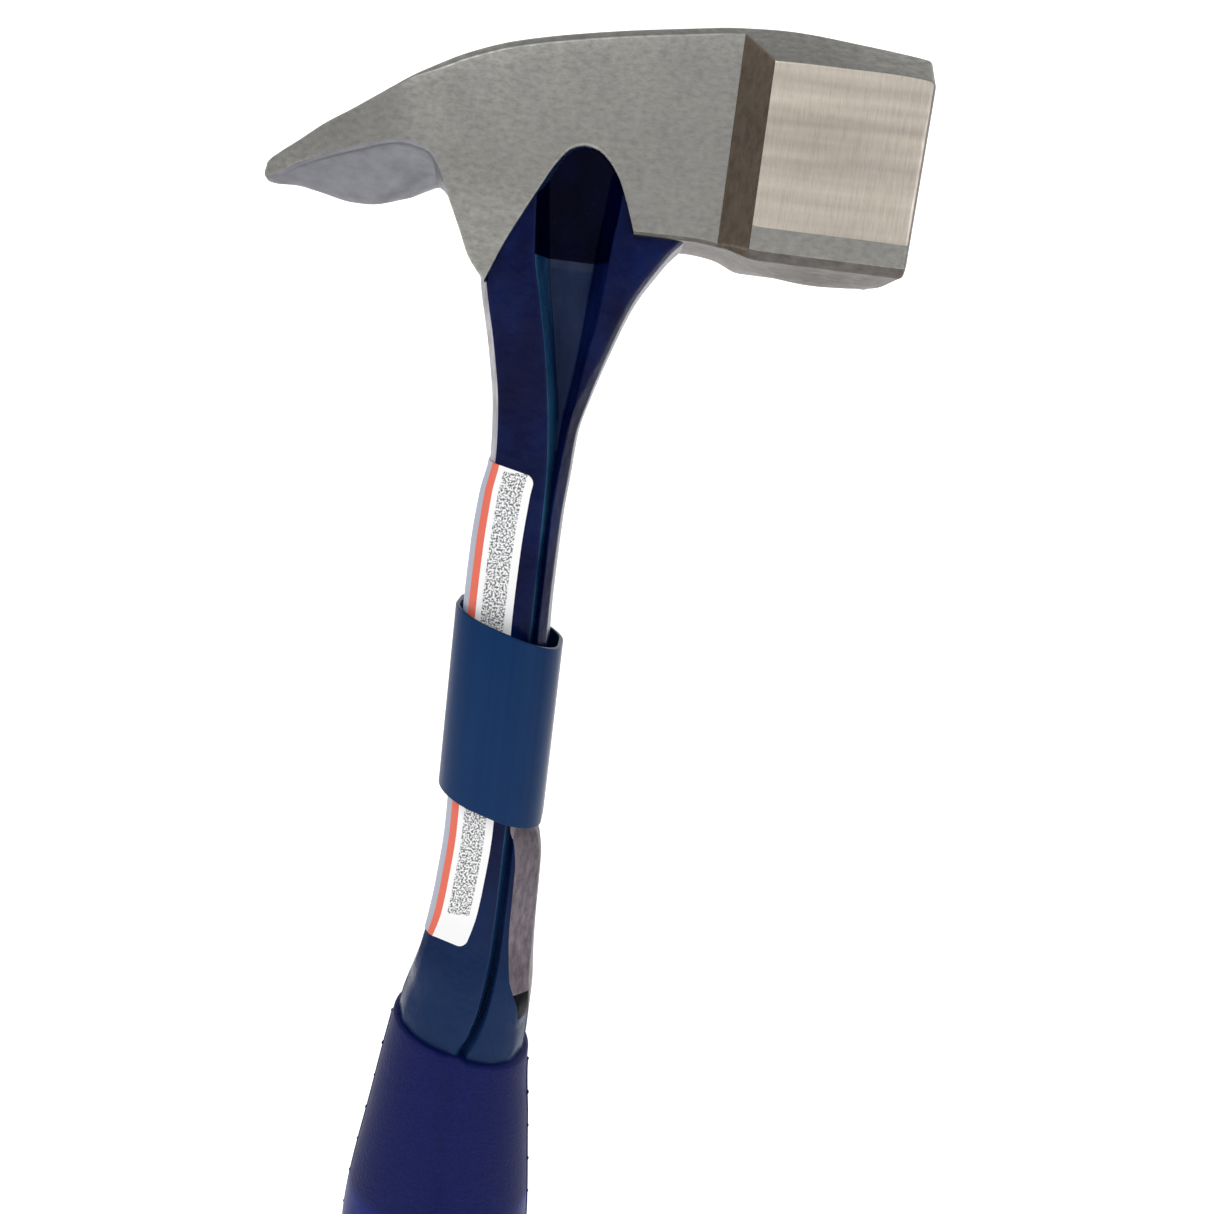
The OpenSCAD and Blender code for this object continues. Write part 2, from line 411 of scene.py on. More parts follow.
        # The poll's side above brushed_sheen_low gets brushed steel painted much lighter and streaked:
        # painted reflection.
        if abs(normal.y) > 0.9 and station < self.block and centre.z > self.brushed_sheen_low:
            return Finish.POLL_SIDE
        # The poll's underside gets darker steel: painted shade.
        if normal.z < -0.25 and station < self.wing:
            return Finish.POLL_UNDER
        if normal.z < -0.25 and station > self.point:
            return Finish.UNDERSIDE
        # Downward faces of the arch: near-black enamel as painted shade up to station 50, lighter enamel as
        # painted light on the lip behind it.
        if normal.z < -0.2 and self.wing <= station < self.tail and abs(normal.y) < 0.4:
            return Finish.PAINTED_LIGHT if station > 50 else Finish.PAINTED_SHADE
        return Finish.CHEEK


def dress_faces(piece: bpy.types.Object, finish_at: Callable[[Vector, Vector], Finish]) -> None:
    """Give each face of a part of the forging its finish.

    Args:
        piece: The part, whose material slots are filled here.
        finish_at: Finish for a face's centre, in millimetres, and its normal.
    """
    for finish in Finish:
        piece.data.materials.append(FORGING_FINISHES[finish])
    for face in piece.data.polygons:
        face.material_index = finish_at(face.center / MM, face.normal).value


@dataclass(frozen=True)
class Shank:
    """The enamelled I-section shank, its flared foot and the tang inside the grip.

    Attributes:
        back: Where the back edge lies.
        front: Where the front edge lies.
        flange: Half thickness across the flanges.
        web: Half thickness at the floor of the recess.
        back_ridge: Edge of the recess towards the back.
        front_ridge: Edge of the recess towards the front.
        floor_back: Edge of the recess's floor towards the back.
        floor_front: Edge of the recess's floor towards the front.
        bevel: Width of the bevel along the front, seen from the side.
        bevel_depth: How far that bevel cuts in.
        tilt: Slope of a section, lower towards the front, as it nears the grip's rim.
        crown: Width of the bare crown along the back.
        crown_depth: How far the crown's bevel cuts in.
        axis: Where a tilted section crosses its own drop.
        scoop_end: Drop at which the scoop under the arch meets the web.
        crown_to: Drop at which the bare crown along the back ends.
        bare_from: Drop from which the front bevel is bare steel.
        bare_to: Drop at which that bare bevel ends.
        shade_patch_to: Drop at which the patch of near-black enamel under it, painted shade, ends.
        painted_light_to: Drop at which the lighter enamel on the web, painted light, ends.
        crossing: Drop at which the shank has become the plain tang.
        oval: Power of the oval that the foot swells into.
        tang_end: Drop at which the tang ends.
    """

    back: Profile = Profile((
        (-6, -67), (8, -67.6), (24.5, -65.5), (34.4, -63.4), (44, -61.9), (52, -61.5), (58, -62.5),
        (67, -63.2), (78, -63.4), (90, -63.2), (108, -62.9), (118, -62.8), (129.6, -63.5), (135.8, -64.2),
        (142, -65.2), (148.4, -66.8), (153, -68.1), (156, -68.5), (166, -68.3),
        (172, -66), (180, -65), (285, -64)))
    front: Profile = Profile((
        (-6, -35), (12, -32.5), (17.2, -36.2), (24.8, -40.8), (33, -43.8), (40.5, -46.1), (47.3, -47.7),
        (54, -48.1), (62, -48.6), (76, -48.8), (90, -48.3), (108, -47.8), (117, -47.4), (120, -46.2),
        (125, -45.4), (138, -45.1), (146, -44.8), (153, -44.3), (158, -44.3), (166, -45.1),
        (172, -46.5), (180, -48), (285, -51)))
    flange: Profile = Profile((
        (-6, 10.8), (10, 10.6), (20, 10.1), (26, 9.5), (36, 8.3), (46, 7.3), (56, 6.8), (66, 6.6),
        (134, 6.6), (141, 7.4), (147, 8.7), (153.5, 9.9), (158.5, 10.7), (163, 11.0),
        (170, 8), (176, 4.5), (285, 4.2)))
    web: Profile = Profile((
        (-6, 10.8), (2.6, 10.6), (5, 9), (8, 7), (12, 5.1), (16, 3.9), (19.2, 3.4), (20.2, 3.0),
        (40, 3.3), (50, 4.2), (60, 4.8), (140, 4.8), (147, 5.3), (153.5, 6.9), (158.5, 8.6), (163, 9.4),
        (170, 7.5), (176, 4.2), (285, 4)), corners=(19.2,))
    back_ridge: Profile = Profile((
        (-6, -57.6), (8, -57.6), (19, -57), (25, -55.8), (34, -53.9), (46, -52.2), (56, -51.5),
        (80, -51.4), (115, -51.9), (140, -52.1), (150, -53), (156, -54.5), (160, -56), (176, -57)))
    front_ridge: Profile = Profile((
        (-6, -44.4), (7, -44.4), (17.5, -45.2), (21.6, -45.5), (29, -46.3), (34, -47.2), (48, -48.9),
        (60, -50.1), (115, -50.2), (140, -50.3), (150, -51.2), (156, -52.7), (160, -54.2), (176, -55)))
    floor_back: Profile = Profile((
        (-6, -56), (8, -56.2), (19.3, -55.3), (34, -52.8), (48, -50.9), (60, -50.9), (115, -51.2),
        (140, -51.3), (150, -52.2), (156, -53.7), (160, -55.2), (176, -56.2)))
    floor_front: Profile = Profile((
        (-6, -46), (8, -46.8), (19.3, -47.9), (34, -49), (48, -50.4), (60, -50.6), (115, -50.9),
        (140, -51), (150, -51.9), (156, -53.4), (160, -54.9), (176, -55.9)))
    bevel: Profile = Profile((
        (10, 0.8), (32, 0.9), (44, 1.6), (56, 1.5), (75, 1.2), (92, 1.8), (112, 3.8), (135, 4.2), (144, 3.4),
        (150, 1.6), (176, 1)))
    bevel_depth: Profile = Profile((
        (10, 1.8), (32, 1.9), (44, 2.6), (56, 2.4), (75, 2.0), (92, 2.8), (112, 4.6), (135, 4.6), (144, 3.6),
        (150, 2.2), (160, 2.5), (176, 1)))
    tilt: Profile = Profile(((136, 0), (155, RIM_SLOPE), (165, RIM_SLOPE), (200, 0)))
    crown: float = 1.3
    crown_depth: float = 1.6
    axis: float = SHANK_AXIS
    scoop_end: float = 19.2
    crown_to: float = 132.0
    bare_from: float = 112.0
    bare_to: float = 146.5
    shade_patch_to: float = 152.0
    painted_light_to: float = 50.0
    crossing: float = 170.0
    oval: float = 2.4
    tang_end: float = 285.0

    def edge(self, side: Profile, drop: float) -> float:
        """Place of an edge, given at its true drop, on the tilted section of a drop."""
        slope = self.tilt.at(drop)
        true_drop = drop
        for _ in range(4):
            x = side.at(true_drop)
            true_drop = drop + slope * (x - self.axis)
        return x

    def outline(self, drop: float) -> list[Vector]:
        """Half outline, as (x, y), from the middle of the back to the middle of the front."""
        back, front = self.edge(self.back, drop), self.edge(self.front, drop)
        flange, web = self.flange.at(drop), min(self.web.at(drop), self.flange.at(drop) - 0.05)
        cut, depth = self.bevel.at(drop), self.bevel_depth.at(drop)
        hidden = smoothstep((drop - 162) / 8)
        crown = self.crown * (1 - 0.5 * hidden)
        back_ridge, front_ridge = self.back_ridge.at(drop), self.front_ridge.at(drop)
        flank, near = back_ridge - back - crown, front - cut - front_ridge
        points = rounded([
            (back, 0, 0), (back, flange - self.crown_depth, 0.5), (back + crown, flange, 0.5),
            (back + crown + flank / 3, flange, 1.2), (back_ridge - flank / 3, flange, 1.2),
            (back_ridge, flange, 0.7), (self.floor_back.at(drop), web, 0.5),
            (self.floor_front.at(drop), web, 0.5), (front_ridge, flange, 0.5),
            (front_ridge + near / 2, flange, 1), (front - cut, flange, 0.6),
            (front, flange - depth, 0.5), (front, 0, 0)])
        swell = smoothstep((drop - 143) / 12)
        middle, reach = (back + front) / 2, (front - back) / 2
        for p in points:
            share = min(abs(p.x - middle) / reach, 1.0)
            p.y *= 1 - swell * (1 - max(1 - share**self.oval, 0.03) ** (1 / self.oval))
        return points

    def place(self, drop: float, flat: Vector) -> Vector:
        """A point of the tilted section, from its (x, y)."""
        return Vector((flat.x, flat.y, -drop - self.tilt.at(drop) * (flat.x - self.axis)))

    def section(self, drop: float) -> list[Vector]:
        """Half section at a drop, from the middle of the back to the middle of the front."""
        return [self.place(drop, p) for p in self.outline(drop)]

    def build(self) -> bpy.types.Object:
        """Loft the shank and its tang, bare along both crowns."""
        bends = (self.back, self.front, self.flange, self.web, self.bevel, self.bevel_depth)
        seen = even_stations(bends, -3.0, self.crossing, 1.0)
        tang = [self.crossing + 5 * k for k in range(1, 23)] + [self.tang_end]
        shank = loft("shank", [mirrored(self.section(d)) for d in seen + tang])
        dress_faces(shank, self.finish_at)
        return shank

    def finish_at(self, centre: Vector, normal: Vector) -> Finish:
        """Finish of the face at a place on the shank."""
        drop = -centre.z - self.tilt.at(-centre.z) * (centre.x - self.axis)
        behind = centre.x - self.edge(self.back, drop)
        ahead = self.edge(self.front, drop) - centre.x
        if behind < self.crown * 0.95 and 20 < drop < self.crown_to:
            return Finish.CROWN
        # The bare front bevel gets darker steel, a painted dark reflection; below it a patch of near-black
        # enamel is painted shade.
        if ahead < self.bevel.at(drop) * 0.97 and self.bare_from < drop < self.shade_patch_to:
            return Finish.STRIP if drop < self.bare_to else Finish.PAINTED_SHADE
        if self.back_ridge.at(drop) - 0.2 < centre.x < self.front_ridge.at(drop) and abs(centre.y) > 0.1:
            # The scoop under the arch gets near-black enamel: painted shade.
            if drop < self.scoop_end:
                return Finish.PAINTED_SHADE
            # The recess's back wall gets the bright teal enamel: a painted highlight along the ridge.
            if centre.x < self.floor_back.at(drop):
                return Finish.THIN
            # The web panel under the arch gets lighter enamel: painted light.
            if centre.x < self.floor_front.at(drop) and drop < self.painted_light_to:
                return Finish.PAINTED_LIGHT
        return Finish.ENAMEL

    def skin(self, drop: float, reach: float, lift: float) -> Vector:
        """A point on a sheet laid round the back of the shank.

        Args:
            drop: Drop of the section that it lies on.
            reach: Distance over the skin from the middle of the back, negative on the -Y side.
            lift: Height above the steel.

        Returns:
            The point, in millimetres.
        """
        outline = self.outline(drop)
        left = abs(reach)
        for a, b in zip(outline, outline[1:]):
            span = (b - a).length
            if left <= span or b == outline[-1]:
                break
            left -= span
        along = (b - a).normalized()
        spot = a + along * left + Vector((-along.y, along.x)) * lift
        if reach < 0:
            spot.y = -spot.y
        return self.place(drop, spot)


# ---------- grip, label and band ----------


@dataclass(frozen=True)
class Grip:
    """The moulded vinyl grip, from its slanted rim to its rounded butt.

    Attributes:
        top: Drop of the rim at the grip's axis.
        bottom: Drop of the butt.
        axis: Where the grip's tilted sections cross their own drop.
        back: Where the back lies.
        front: Where the front lies.
        half: Half thickness.
        tilt: Slope of a section, lower towards the front, at the rim.
        flute_end: Drop at which the flute in each side runs out.
        flute_depth: Depth of that flute.
        lip: Radius of the rim's edge.
        butt_round: Radius of the butt's edge.
    """

    top: float
    bottom: float
    axis: float = SHANK_AXIS
    back: Profile = Profile((
        (151, -68.3), (157.1, -69.1), (176, -72.1), (206, -76), (225, -75.5), (252, -72.6), (266, -74),
        (280, -76), (292, -75.6)))
    front: Profile = Profile((
        (151, -43.8), (163.4, -43.4), (176, -42.1), (206, -39.9), (225, -40.5), (252, -42.4), (266, -41),
        (280, -39), (292, -39.4)))
    half: Profile = Profile((
        (151, 12.2), (160, 12.3), (176, 13), (206, 14.5), (225, 14.5), (252, 13.6), (266, 14.5),
        (280, 15.4), (292, 15.2)))
    tilt: Profile = Profile(((163, RIM_SLOPE), (205, 0.0)))
    flute_end: float = 193.0
    flute_depth: float = 0.9
    lip: float = 0.6
    butt_round: float = 5.0
    sides: int = 128

    def inset(self, drop: float) -> float:
        """How far the rim's lip or the butt's edge has turned in."""
        total = 0.0
        for radius, edge in ((self.lip, drop - self.top), (self.butt_round, self.bottom - drop)):
            into = max(radius - edge, 0.0)
            total += radius - math.sqrt(max(radius**2 - into**2, 0.0))
        return total

    def section(self, drop: float) -> list[Vector]:
        """Closed section at a drop."""
        back, front, half = self.back.at(drop), self.front.at(drop), self.half.at(drop)
        inset = self.inset(drop)
        middle, reach = (back + front) / 2, (front - back) / 2
        fade = 1 - smoothstep((drop - self.flute_end + 9) / 9)
        ring = []
        for k in range(self.sides):
            angle = 2 * math.pi * k / self.sides
            c, s = math.cos(angle), math.sin(angle)
            x = middle + (reach - inset) * math.copysign(abs(c) ** 0.92, c)
            y = (half - inset) * math.copysign(abs(s) ** 0.92, s)
            off = abs(x + 56.2) / 2.4
            if off < 1:
                y -= math.copysign(self.flute_depth * fade * (1 - off * off) ** 2, s)
            ring.append(Vector((x, y, -drop - self.tilt.at(drop) * (x - self.axis))))
        return ring

    def build(self, tang: bpy.types.Object) -> bpy.types.Object:
        """Mould the grip round the tang, with the flash of its parting line."""
        body = [self.top + self.lip + 1.6 * k for k in range(1, 79)]
        lip = [self.top + self.lip * (1 - math.cos(math.pi * k / 12)) for k in range(0, 7)]
        last = self.bottom - self.butt_round
        butt = [last + self.butt_round * math.sin(math.pi * k / 20) for k in range(0, 11)]
        drops = lip + [d for d in body if d < last - 0.5] + butt
        grip = loft("vinyl_grip", [self.section(d) for d in drops])
        for side in (self.back, self.front):
            combine(grip, self.flash(side), "UNION", crossed=True)
        combine(grip, tang, "DIFFERENCE")
        return grip

    def flash(self, side: Profile) -> bpy.types.Object:
        """Bead and nubs that the mould's parting line leaves along one side."""
        start, end = self.top + 2.5, self.bottom - 12.0
        drops = [start + (end - start) * k / 60 for k in range(61)]
        path = []
        for drop in drops:
            x = side.at(drop)
            path.append(Vector((x, 0, -drop - self.tilt.at(drop) * (x - self.axis))) * MM)
        line = bpy.data.meshes.new("flash")
        line.from_pydata(path, [(k, k + 1) for k in range(60)], [])
        bead = bpy.data.objects.new("flash", line)
        bpy.context.scene.collection.objects.link(bead)
        growth = bead.modifiers.new("flash", "NODES")
        growth.node_group = parting_flash_tree()
        set_inputs(growth, {"Bead Radius": 0.22 * MM, "Nub Radius": 0.42 * MM, "Nub Spacing": 7.0 * MM})
        bake_modifiers(bead)
        bpy.context.scene.collection.objects.unlink(bead)
        return bead


def parting_flash_tree() -> bpy.types.NodeTree:
    """Geometry nodes that sweep a bead along a path and seed it with nubs."""
    tree = bpy.data.node_groups.new("parting_flash", "GeometryNodeTree")
    face = tree.interface
    face.new_socket("Geometry", in_out="INPUT", socket_type="NodeSocketGeometry")
    for name in ("Bead Radius", "Nub Radius", "Nub Spacing"):
        face.new_socket(name, in_out="INPUT", socket_type="NodeSocketFloat")
    face.new_socket("Geometry", in_out="OUTPUT", socket_type="NodeSocketGeometry")
    nodes, links = tree.nodes, tree.links
    given = nodes.new("NodeGroupInput")
    given.label = "Path and sizes"
    path = nodes.new("GeometryNodeMeshToCurve")
    path.label = "Parting line"
    ring = nodes.new("GeometryNodeCurvePrimitiveCircle")
    ring.label = "Bead section"
    ring.inputs["Resolution"].default_value = 8
    bead = nodes.new("GeometryNodeCurveToMesh")
    bead.label = "Bead"
    bead.inputs["Fill Caps"].default_value = True
    spots = nodes.new("GeometryNodeCurveToPoints")
    spots.label = "Nub places"
    spots.mode = "LENGTH"
    nub = nodes.new("GeometryNodeMeshIcoSphere")
    nub.label = "Nub"
    nub.inputs["Subdivisions"].default_value = 2
    uneven = nodes.new("FunctionNodeRandomValue")
    uneven.label = "Uneven nubs"
    uneven.data_type = "FLOAT"
    uneven.inputs["Min"].default_value = 0.6
    uneven.inputs["Max"].default_value = 1.1
    uneven.inputs["Seed"].default_value = 5
    seeded = nodes.new("GeometryNodeInstanceOnPoints")
    seeded.label = "Nubs along the bead"
    both = nodes.new("GeometryNodeJoinGeometry")
    both.label = "Flash"
    real = nodes.new("GeometryNodeRealizeInstances")
    real.label = "Real mesh"
    coat = nodes.new("GeometryNodeSetMaterial")
    coat.label = "Vinyl"
    coat.inputs["Material"].default_value = VINYL
    made = nodes.new("NodeGroupOutput")
    made.label = "Flash mesh"
    for i, node in enumerate((given, path, ring, bead, spots, nub, uneven, seeded, both, real, coat, made)):
        node.location = (200 * (i // 2), -220 * (i % 2))
    links.new(given.outputs["Geometry"], path.inputs["Mesh"])
    links.new(given.outputs["Bead Radius"], ring.inputs["Radius"])
    links.new(path.outputs["Curve"], bead.inputs["Curve"])
    links.new(ring.outputs["Curve"], bead.inputs["Profile Curve"])
    links.new(path.outputs["Curve"], spots.inputs["Curve"])
    links.new(given.outputs["Nub Spacing"], spots.inputs["Length"])
    links.new(given.outputs["Nub Radius"], nub.inputs["Radius"])
    links.new(spots.outputs["Points"], seeded.inputs["Points"])
    links.new(nub.outputs["Mesh"], seeded.inputs["Instance"])
    links.new(uneven.outputs["Value"], seeded.inputs["Scale"])
    links.new(bead.outputs["Mesh"], both.inputs["Geometry"])
    links.new(seeded.outputs["Instances"], both.inputs["Geometry"])
    links.new(both.outputs["Geometry"], real.inputs["Geometry"])
    links.new(real.outputs["Geometry"], coat.inputs["Geometry"])
    links.new(coat.outputs["Geometry"], made.inputs["Geometry"])
    return tree


@dataclass(frozen=True)
class Label:
    """The paper label, wrapped round the back of the shank.

    Attributes:
        top: Drop of its upper edge.
        length: Its length down the shank.
        width: Its width round the back, laid flat.
        paper: Thickness of the paper.
        corner: Radius of its corners.
        skew: How far its ends are cut out of square, lower on the -Y side.
        across: Spans across its width.
        along: Spans down its length.
    """

    top: float
    length: float
    width: float = 28.6
    paper: float = 0.18
    corner: float = 1.5
    skew: float = 3.1
    across: int = 96
    along: int = 110

    def build(self, shank: Shank) -> bpy.types.Object:
        """Lay the label on the shank, with its print on a UV map."""
        across, along = self.across, self.along
        half = self.width / 2
        spots, prints = [], []
        for i in range(along + 1):
            for j in range(across + 1):
                reach = half * math.sin(math.pi * (j / across - 0.5))
                near = max(abs(reach) - (half - self.corner), 0.0)
                short = self.corner - math.sqrt(max(self.corner**2 - near**2, 0.0))
                drop = self.top + short + (self.length - 2 * short) * i / along
                drop -= self.skew * reach / half
                spots.append((drop, reach))
                prints.append((reach / self.width + 0.5, 1 - (drop - self.top) / self.length))
        mesh = bpy.data.meshes.new("paper_label")
        skins = [[shank.skin(d, r, lift) * MM for d, r in spots] for lift in (0.02 + self.paper, 0.02)]
        row, size = across + 1, len(spots)
        faces = []
        for i in range(along):
            for j in range(across):
                a = i * row + j
                faces.append((a, a + 1, a + row + 1, a + row))
                faces.append((size + a, size + a + row, size + a + row + 1, size + a + 1))
        rim = list(range(across))
        rim += [i * row + across for i in range(along)]
        rim += [along * row + j for j in range(across, 0, -1)]
        rim += [i * row for i in range(along, 0, -1)]
        faces += [(a, size + a, size + b, b) for a, b in zip(rim, rim[1:] + rim[:1])]
        mesh.from_pydata(skins[0] + skins[1], [], faces)
        layer = mesh.uv_layers.new(name="print")
        for loop in mesh.loops:
            layer.data[loop.index].uv = prints[loop.vertex_index % size]
        label = solid("paper_label", mesh)
        label.data.materials.append(LABEL_PAPER)
        return label


@dataclass(frozen=True)
class Band:
    """The loose plastic band round the shank.

    Attributes:
        back: Its back, front to back along x.
        front: Its front.
        half: Half its thickness.
        top: Drop of its upper end at the back.
        low: Drop of its lower end at the front.
        slope: Slope of its two ends, lower towards the front.
        corner: Radius of its corners, outside.
        wall: Thickness of its wall.
    """

    back: float
    front: float
    half: float
    top: float
    low: float
    slope: float = 0.3057
    corner: float = 8.0
    wall: float = 0.8

    def build(self) -> bpy.types.Object:
        """Sweep the band's wall round its outline."""
        seed = bpy.data.meshes.new("band")
        seed.from_pydata([(0, 0, 0)], [], [])
        band = bpy.data.objects.new("loose_sleeve", seed)
        bpy.context.scene.collection.objects.link(band)
        sweep = band.modifiers.new("sweep", "NODES")
        sweep.node_group = band_tree()
        set_inputs(sweep, {
            "Width": (self.front - self.back - self.wall) * MM, "Depth": (2 * self.half - self.wall) * MM,
            "Corner": (self.corner - self.wall / 2) * MM, "Wall": self.wall * MM,
            "Length": (self.low - self.top - self.slope * (self.front - self.back)) * MM,
            "Back": self.back * MM, "Middle": (self.back + self.front) / 2 * MM,
            "Top": -self.top * MM, "Slope": self.slope})
        bake_modifiers(band)
        work = bmesh.new()
        work.from_mesh(band.data)
        bmesh.ops.recalc_face_normals(work, faces=work.faces)
        work.to_mesh(band.data)
        work.free()
        return band


def band_tree() -> bpy.types.NodeTree:
    """Geometry nodes that sweep a wall round a rounded outline and slant its two ends."""
    tree = bpy.data.node_groups.new("band_sweep", "GeometryNodeTree")
    face = tree.interface
    face.new_socket("Geometry", in_out="INPUT", socket_type="NodeSocketGeometry")
    for name in ("Width", "Depth", "Corner", "Wall", "Length", "Back", "Middle", "Top", "Slope"):
        face.new_socket(name, in_out="INPUT", socket_type="NodeSocketFloat")
    face.new_socket("Geometry", in_out="OUTPUT", socket_type="NodeSocketGeometry")
    nodes, links = tree.nodes, tree.links
    given = nodes.new("NodeGroupInput")
    given.label = "Sizes of the band"
    outline = nodes.new("GeometryNodeCurvePrimitiveQuadrilateral")
    outline.label = "Outline"
    corners = nodes.new("GeometryNodeFilletCurve")
    corners.label = "Rounded corners"
    corners.mode = "POLY"
    corners.inputs["Count"].default_value = 14
    fine = nodes.new("GeometryNodeResampleCurve")
    fine.label = "Even spans round the band"
    fine.inputs["Count"].default_value = 180
    wall = nodes.new("GeometryNodeCurvePrimitiveQuadrilateral")
    wall.label = "Section of the wall"
    lip = nodes.new("GeometryNodeFilletCurve")
    lip.label = "Rounded lips"
    lip.mode = "POLY"
    lip.inputs["Count"].default_value = 5
    lip.inputs["Radius"].default_value = 0.25 * MM
    sweep = nodes.new("GeometryNodeCurveToMesh")
    sweep.label = "Wall round the outline"
    place = nodes.new("GeometryNodeInputPosition")
    place.label = "Place"
    parts = nodes.new("ShaderNodeSeparateXYZ")
    parts.label = "Place along each axis"
    forward = nodes.new("ShaderNodeMath")
    forward.operation = "ADD"
    forward.label = "Place forward in the frame"
    ahead = nodes.new("ShaderNodeMath")
    ahead.operation = "SUBTRACT"
    ahead.label = "Distance from the back"
    drop = nodes.new("ShaderNodeMath")
    drop.operation = "MULTIPLY"
    drop.label = "Drop of the slanted end"
    half = nodes.new("ShaderNodeMath")
    half.operation = "MULTIPLY"
    half.inputs[1].default_value = 0.5
    half.label = "Half the length"
    centre = nodes.new("ShaderNodeMath")
    centre.operation = "SUBTRACT"
    centre.label = "Middle height at the back"
    height = nodes.new("ShaderNodeMath")
    height.operation = "SUBTRACT"
    height.label = "Height lowered by the slant"
    shift = nodes.new("ShaderNodeCombineXYZ")
    shift.label = "Move to its place"
    moved = nodes.new("GeometryNodeSetPosition")
    moved.label = "Slant and place"
    real = nodes.new("GeometryNodeRealizeInstances")
    real.label = "Real mesh"
    coat = nodes.new("GeometryNodeSetMaterial")
    coat.label = "Band plastic"
    coat.inputs["Material"].default_value = BAND_PLASTIC
    made = nodes.new("NodeGroupOutput")
    made.label = "Band mesh"
    row = (given, outline, corners, fine, wall, lip, sweep, place, parts, forward, ahead, drop, half,
           centre, height, shift, moved, real, coat, made)
    for i, node in enumerate(row):
        node.location = (200 * (i // 3), -200 * (i % 3))
    links.new(given.outputs["Width"], outline.inputs["Width"])
    links.new(given.outputs["Depth"], outline.inputs["Height"])
    links.new(outline.outputs["Curve"], corners.inputs["Curve"])
    links.new(given.outputs["Corner"], corners.inputs["Radius"])
    links.new(corners.outputs["Curve"], fine.inputs["Curve"])
    links.new(given.outputs["Wall"], wall.inputs["Width"])
    links.new(given.outputs["Length"], wall.inputs["Height"])
    links.new(wall.outputs["Curve"], lip.inputs["Curve"])
    links.new(fine.outputs["Curve"], sweep.inputs["Curve"])
    links.new(lip.outputs["Curve"], sweep.inputs["Profile Curve"])
    links.new(place.outputs["Position"], parts.inputs["Vector"])
    links.new(parts.outputs["X"], forward.inputs[0])
    links.new(given.outputs["Middle"], forward.inputs[1])
    links.new(forward.outputs["Value"], ahead.inputs[0])
    links.new(given.outputs["Back"], ahead.inputs[1])
    links.new(ahead.outputs["Value"], drop.inputs[0])
    links.new(given.outputs["Slope"], drop.inputs[1])
    links.new(given.outputs["Length"], half.inputs[0])
    links.new(given.outputs["Top"], centre.inputs[0])
    links.new(half.outputs["Value"], centre.inputs[1])
    links.new(centre.outputs["Value"], height.inputs[0])
    links.new(drop.outputs["Value"], height.inputs[1])
    links.new(given.outputs["Middle"], shift.inputs["X"])
    links.new(height.outputs["Value"], shift.inputs["Z"])
    links.new(sweep.outputs["Mesh"], moved.inputs["Geometry"])
    links.new(shift.outputs["Vector"], moved.inputs["Offset"])
    links.new(moved.outputs["Geometry"], real.inputs["Geometry"])
    links.new(real.outputs["Geometry"], coat.inputs["Geometry"])
    links.new(coat.outputs["Geometry"], made.inputs["Geometry"])
    return tree


# ---------- materials ----------


def srgb(red: int, green: int, blue: int) -> Colour:
    """Linear colour of a display colour, with full alpha."""
    linear = [c / 12.92 if c <= 0.04045 else ((c + 0.055) / 1.055) ** 2.4
              for c in (red / 255, green / 255, blue / 255)]
    return (linear[0], linear[1], linear[2], 1.0)


@dataclass(frozen=True)
class SteelFinish:
    """How one zone of the steel was ground.

    Attributes:
        name: Name of its material.
        dull: Colour between the scratches.
        bright: Colour of the scratches.
        grain: Scratches for each metre along x, y and z.
        bands: Broad streaks for each metre along x, y and z.
        band_share: How strongly the broad streaks show.
        roughness: Roughness at its smoothest and at its roughest.
        depth: Depth of the scratches, in metres.
    """

    name: str
    dull: Colour
    bright: Colour
    grain: tuple[float, float, float]
    bands: tuple[float, float, float]
    band_share: float
    roughness: tuple[float, float]
    depth: float


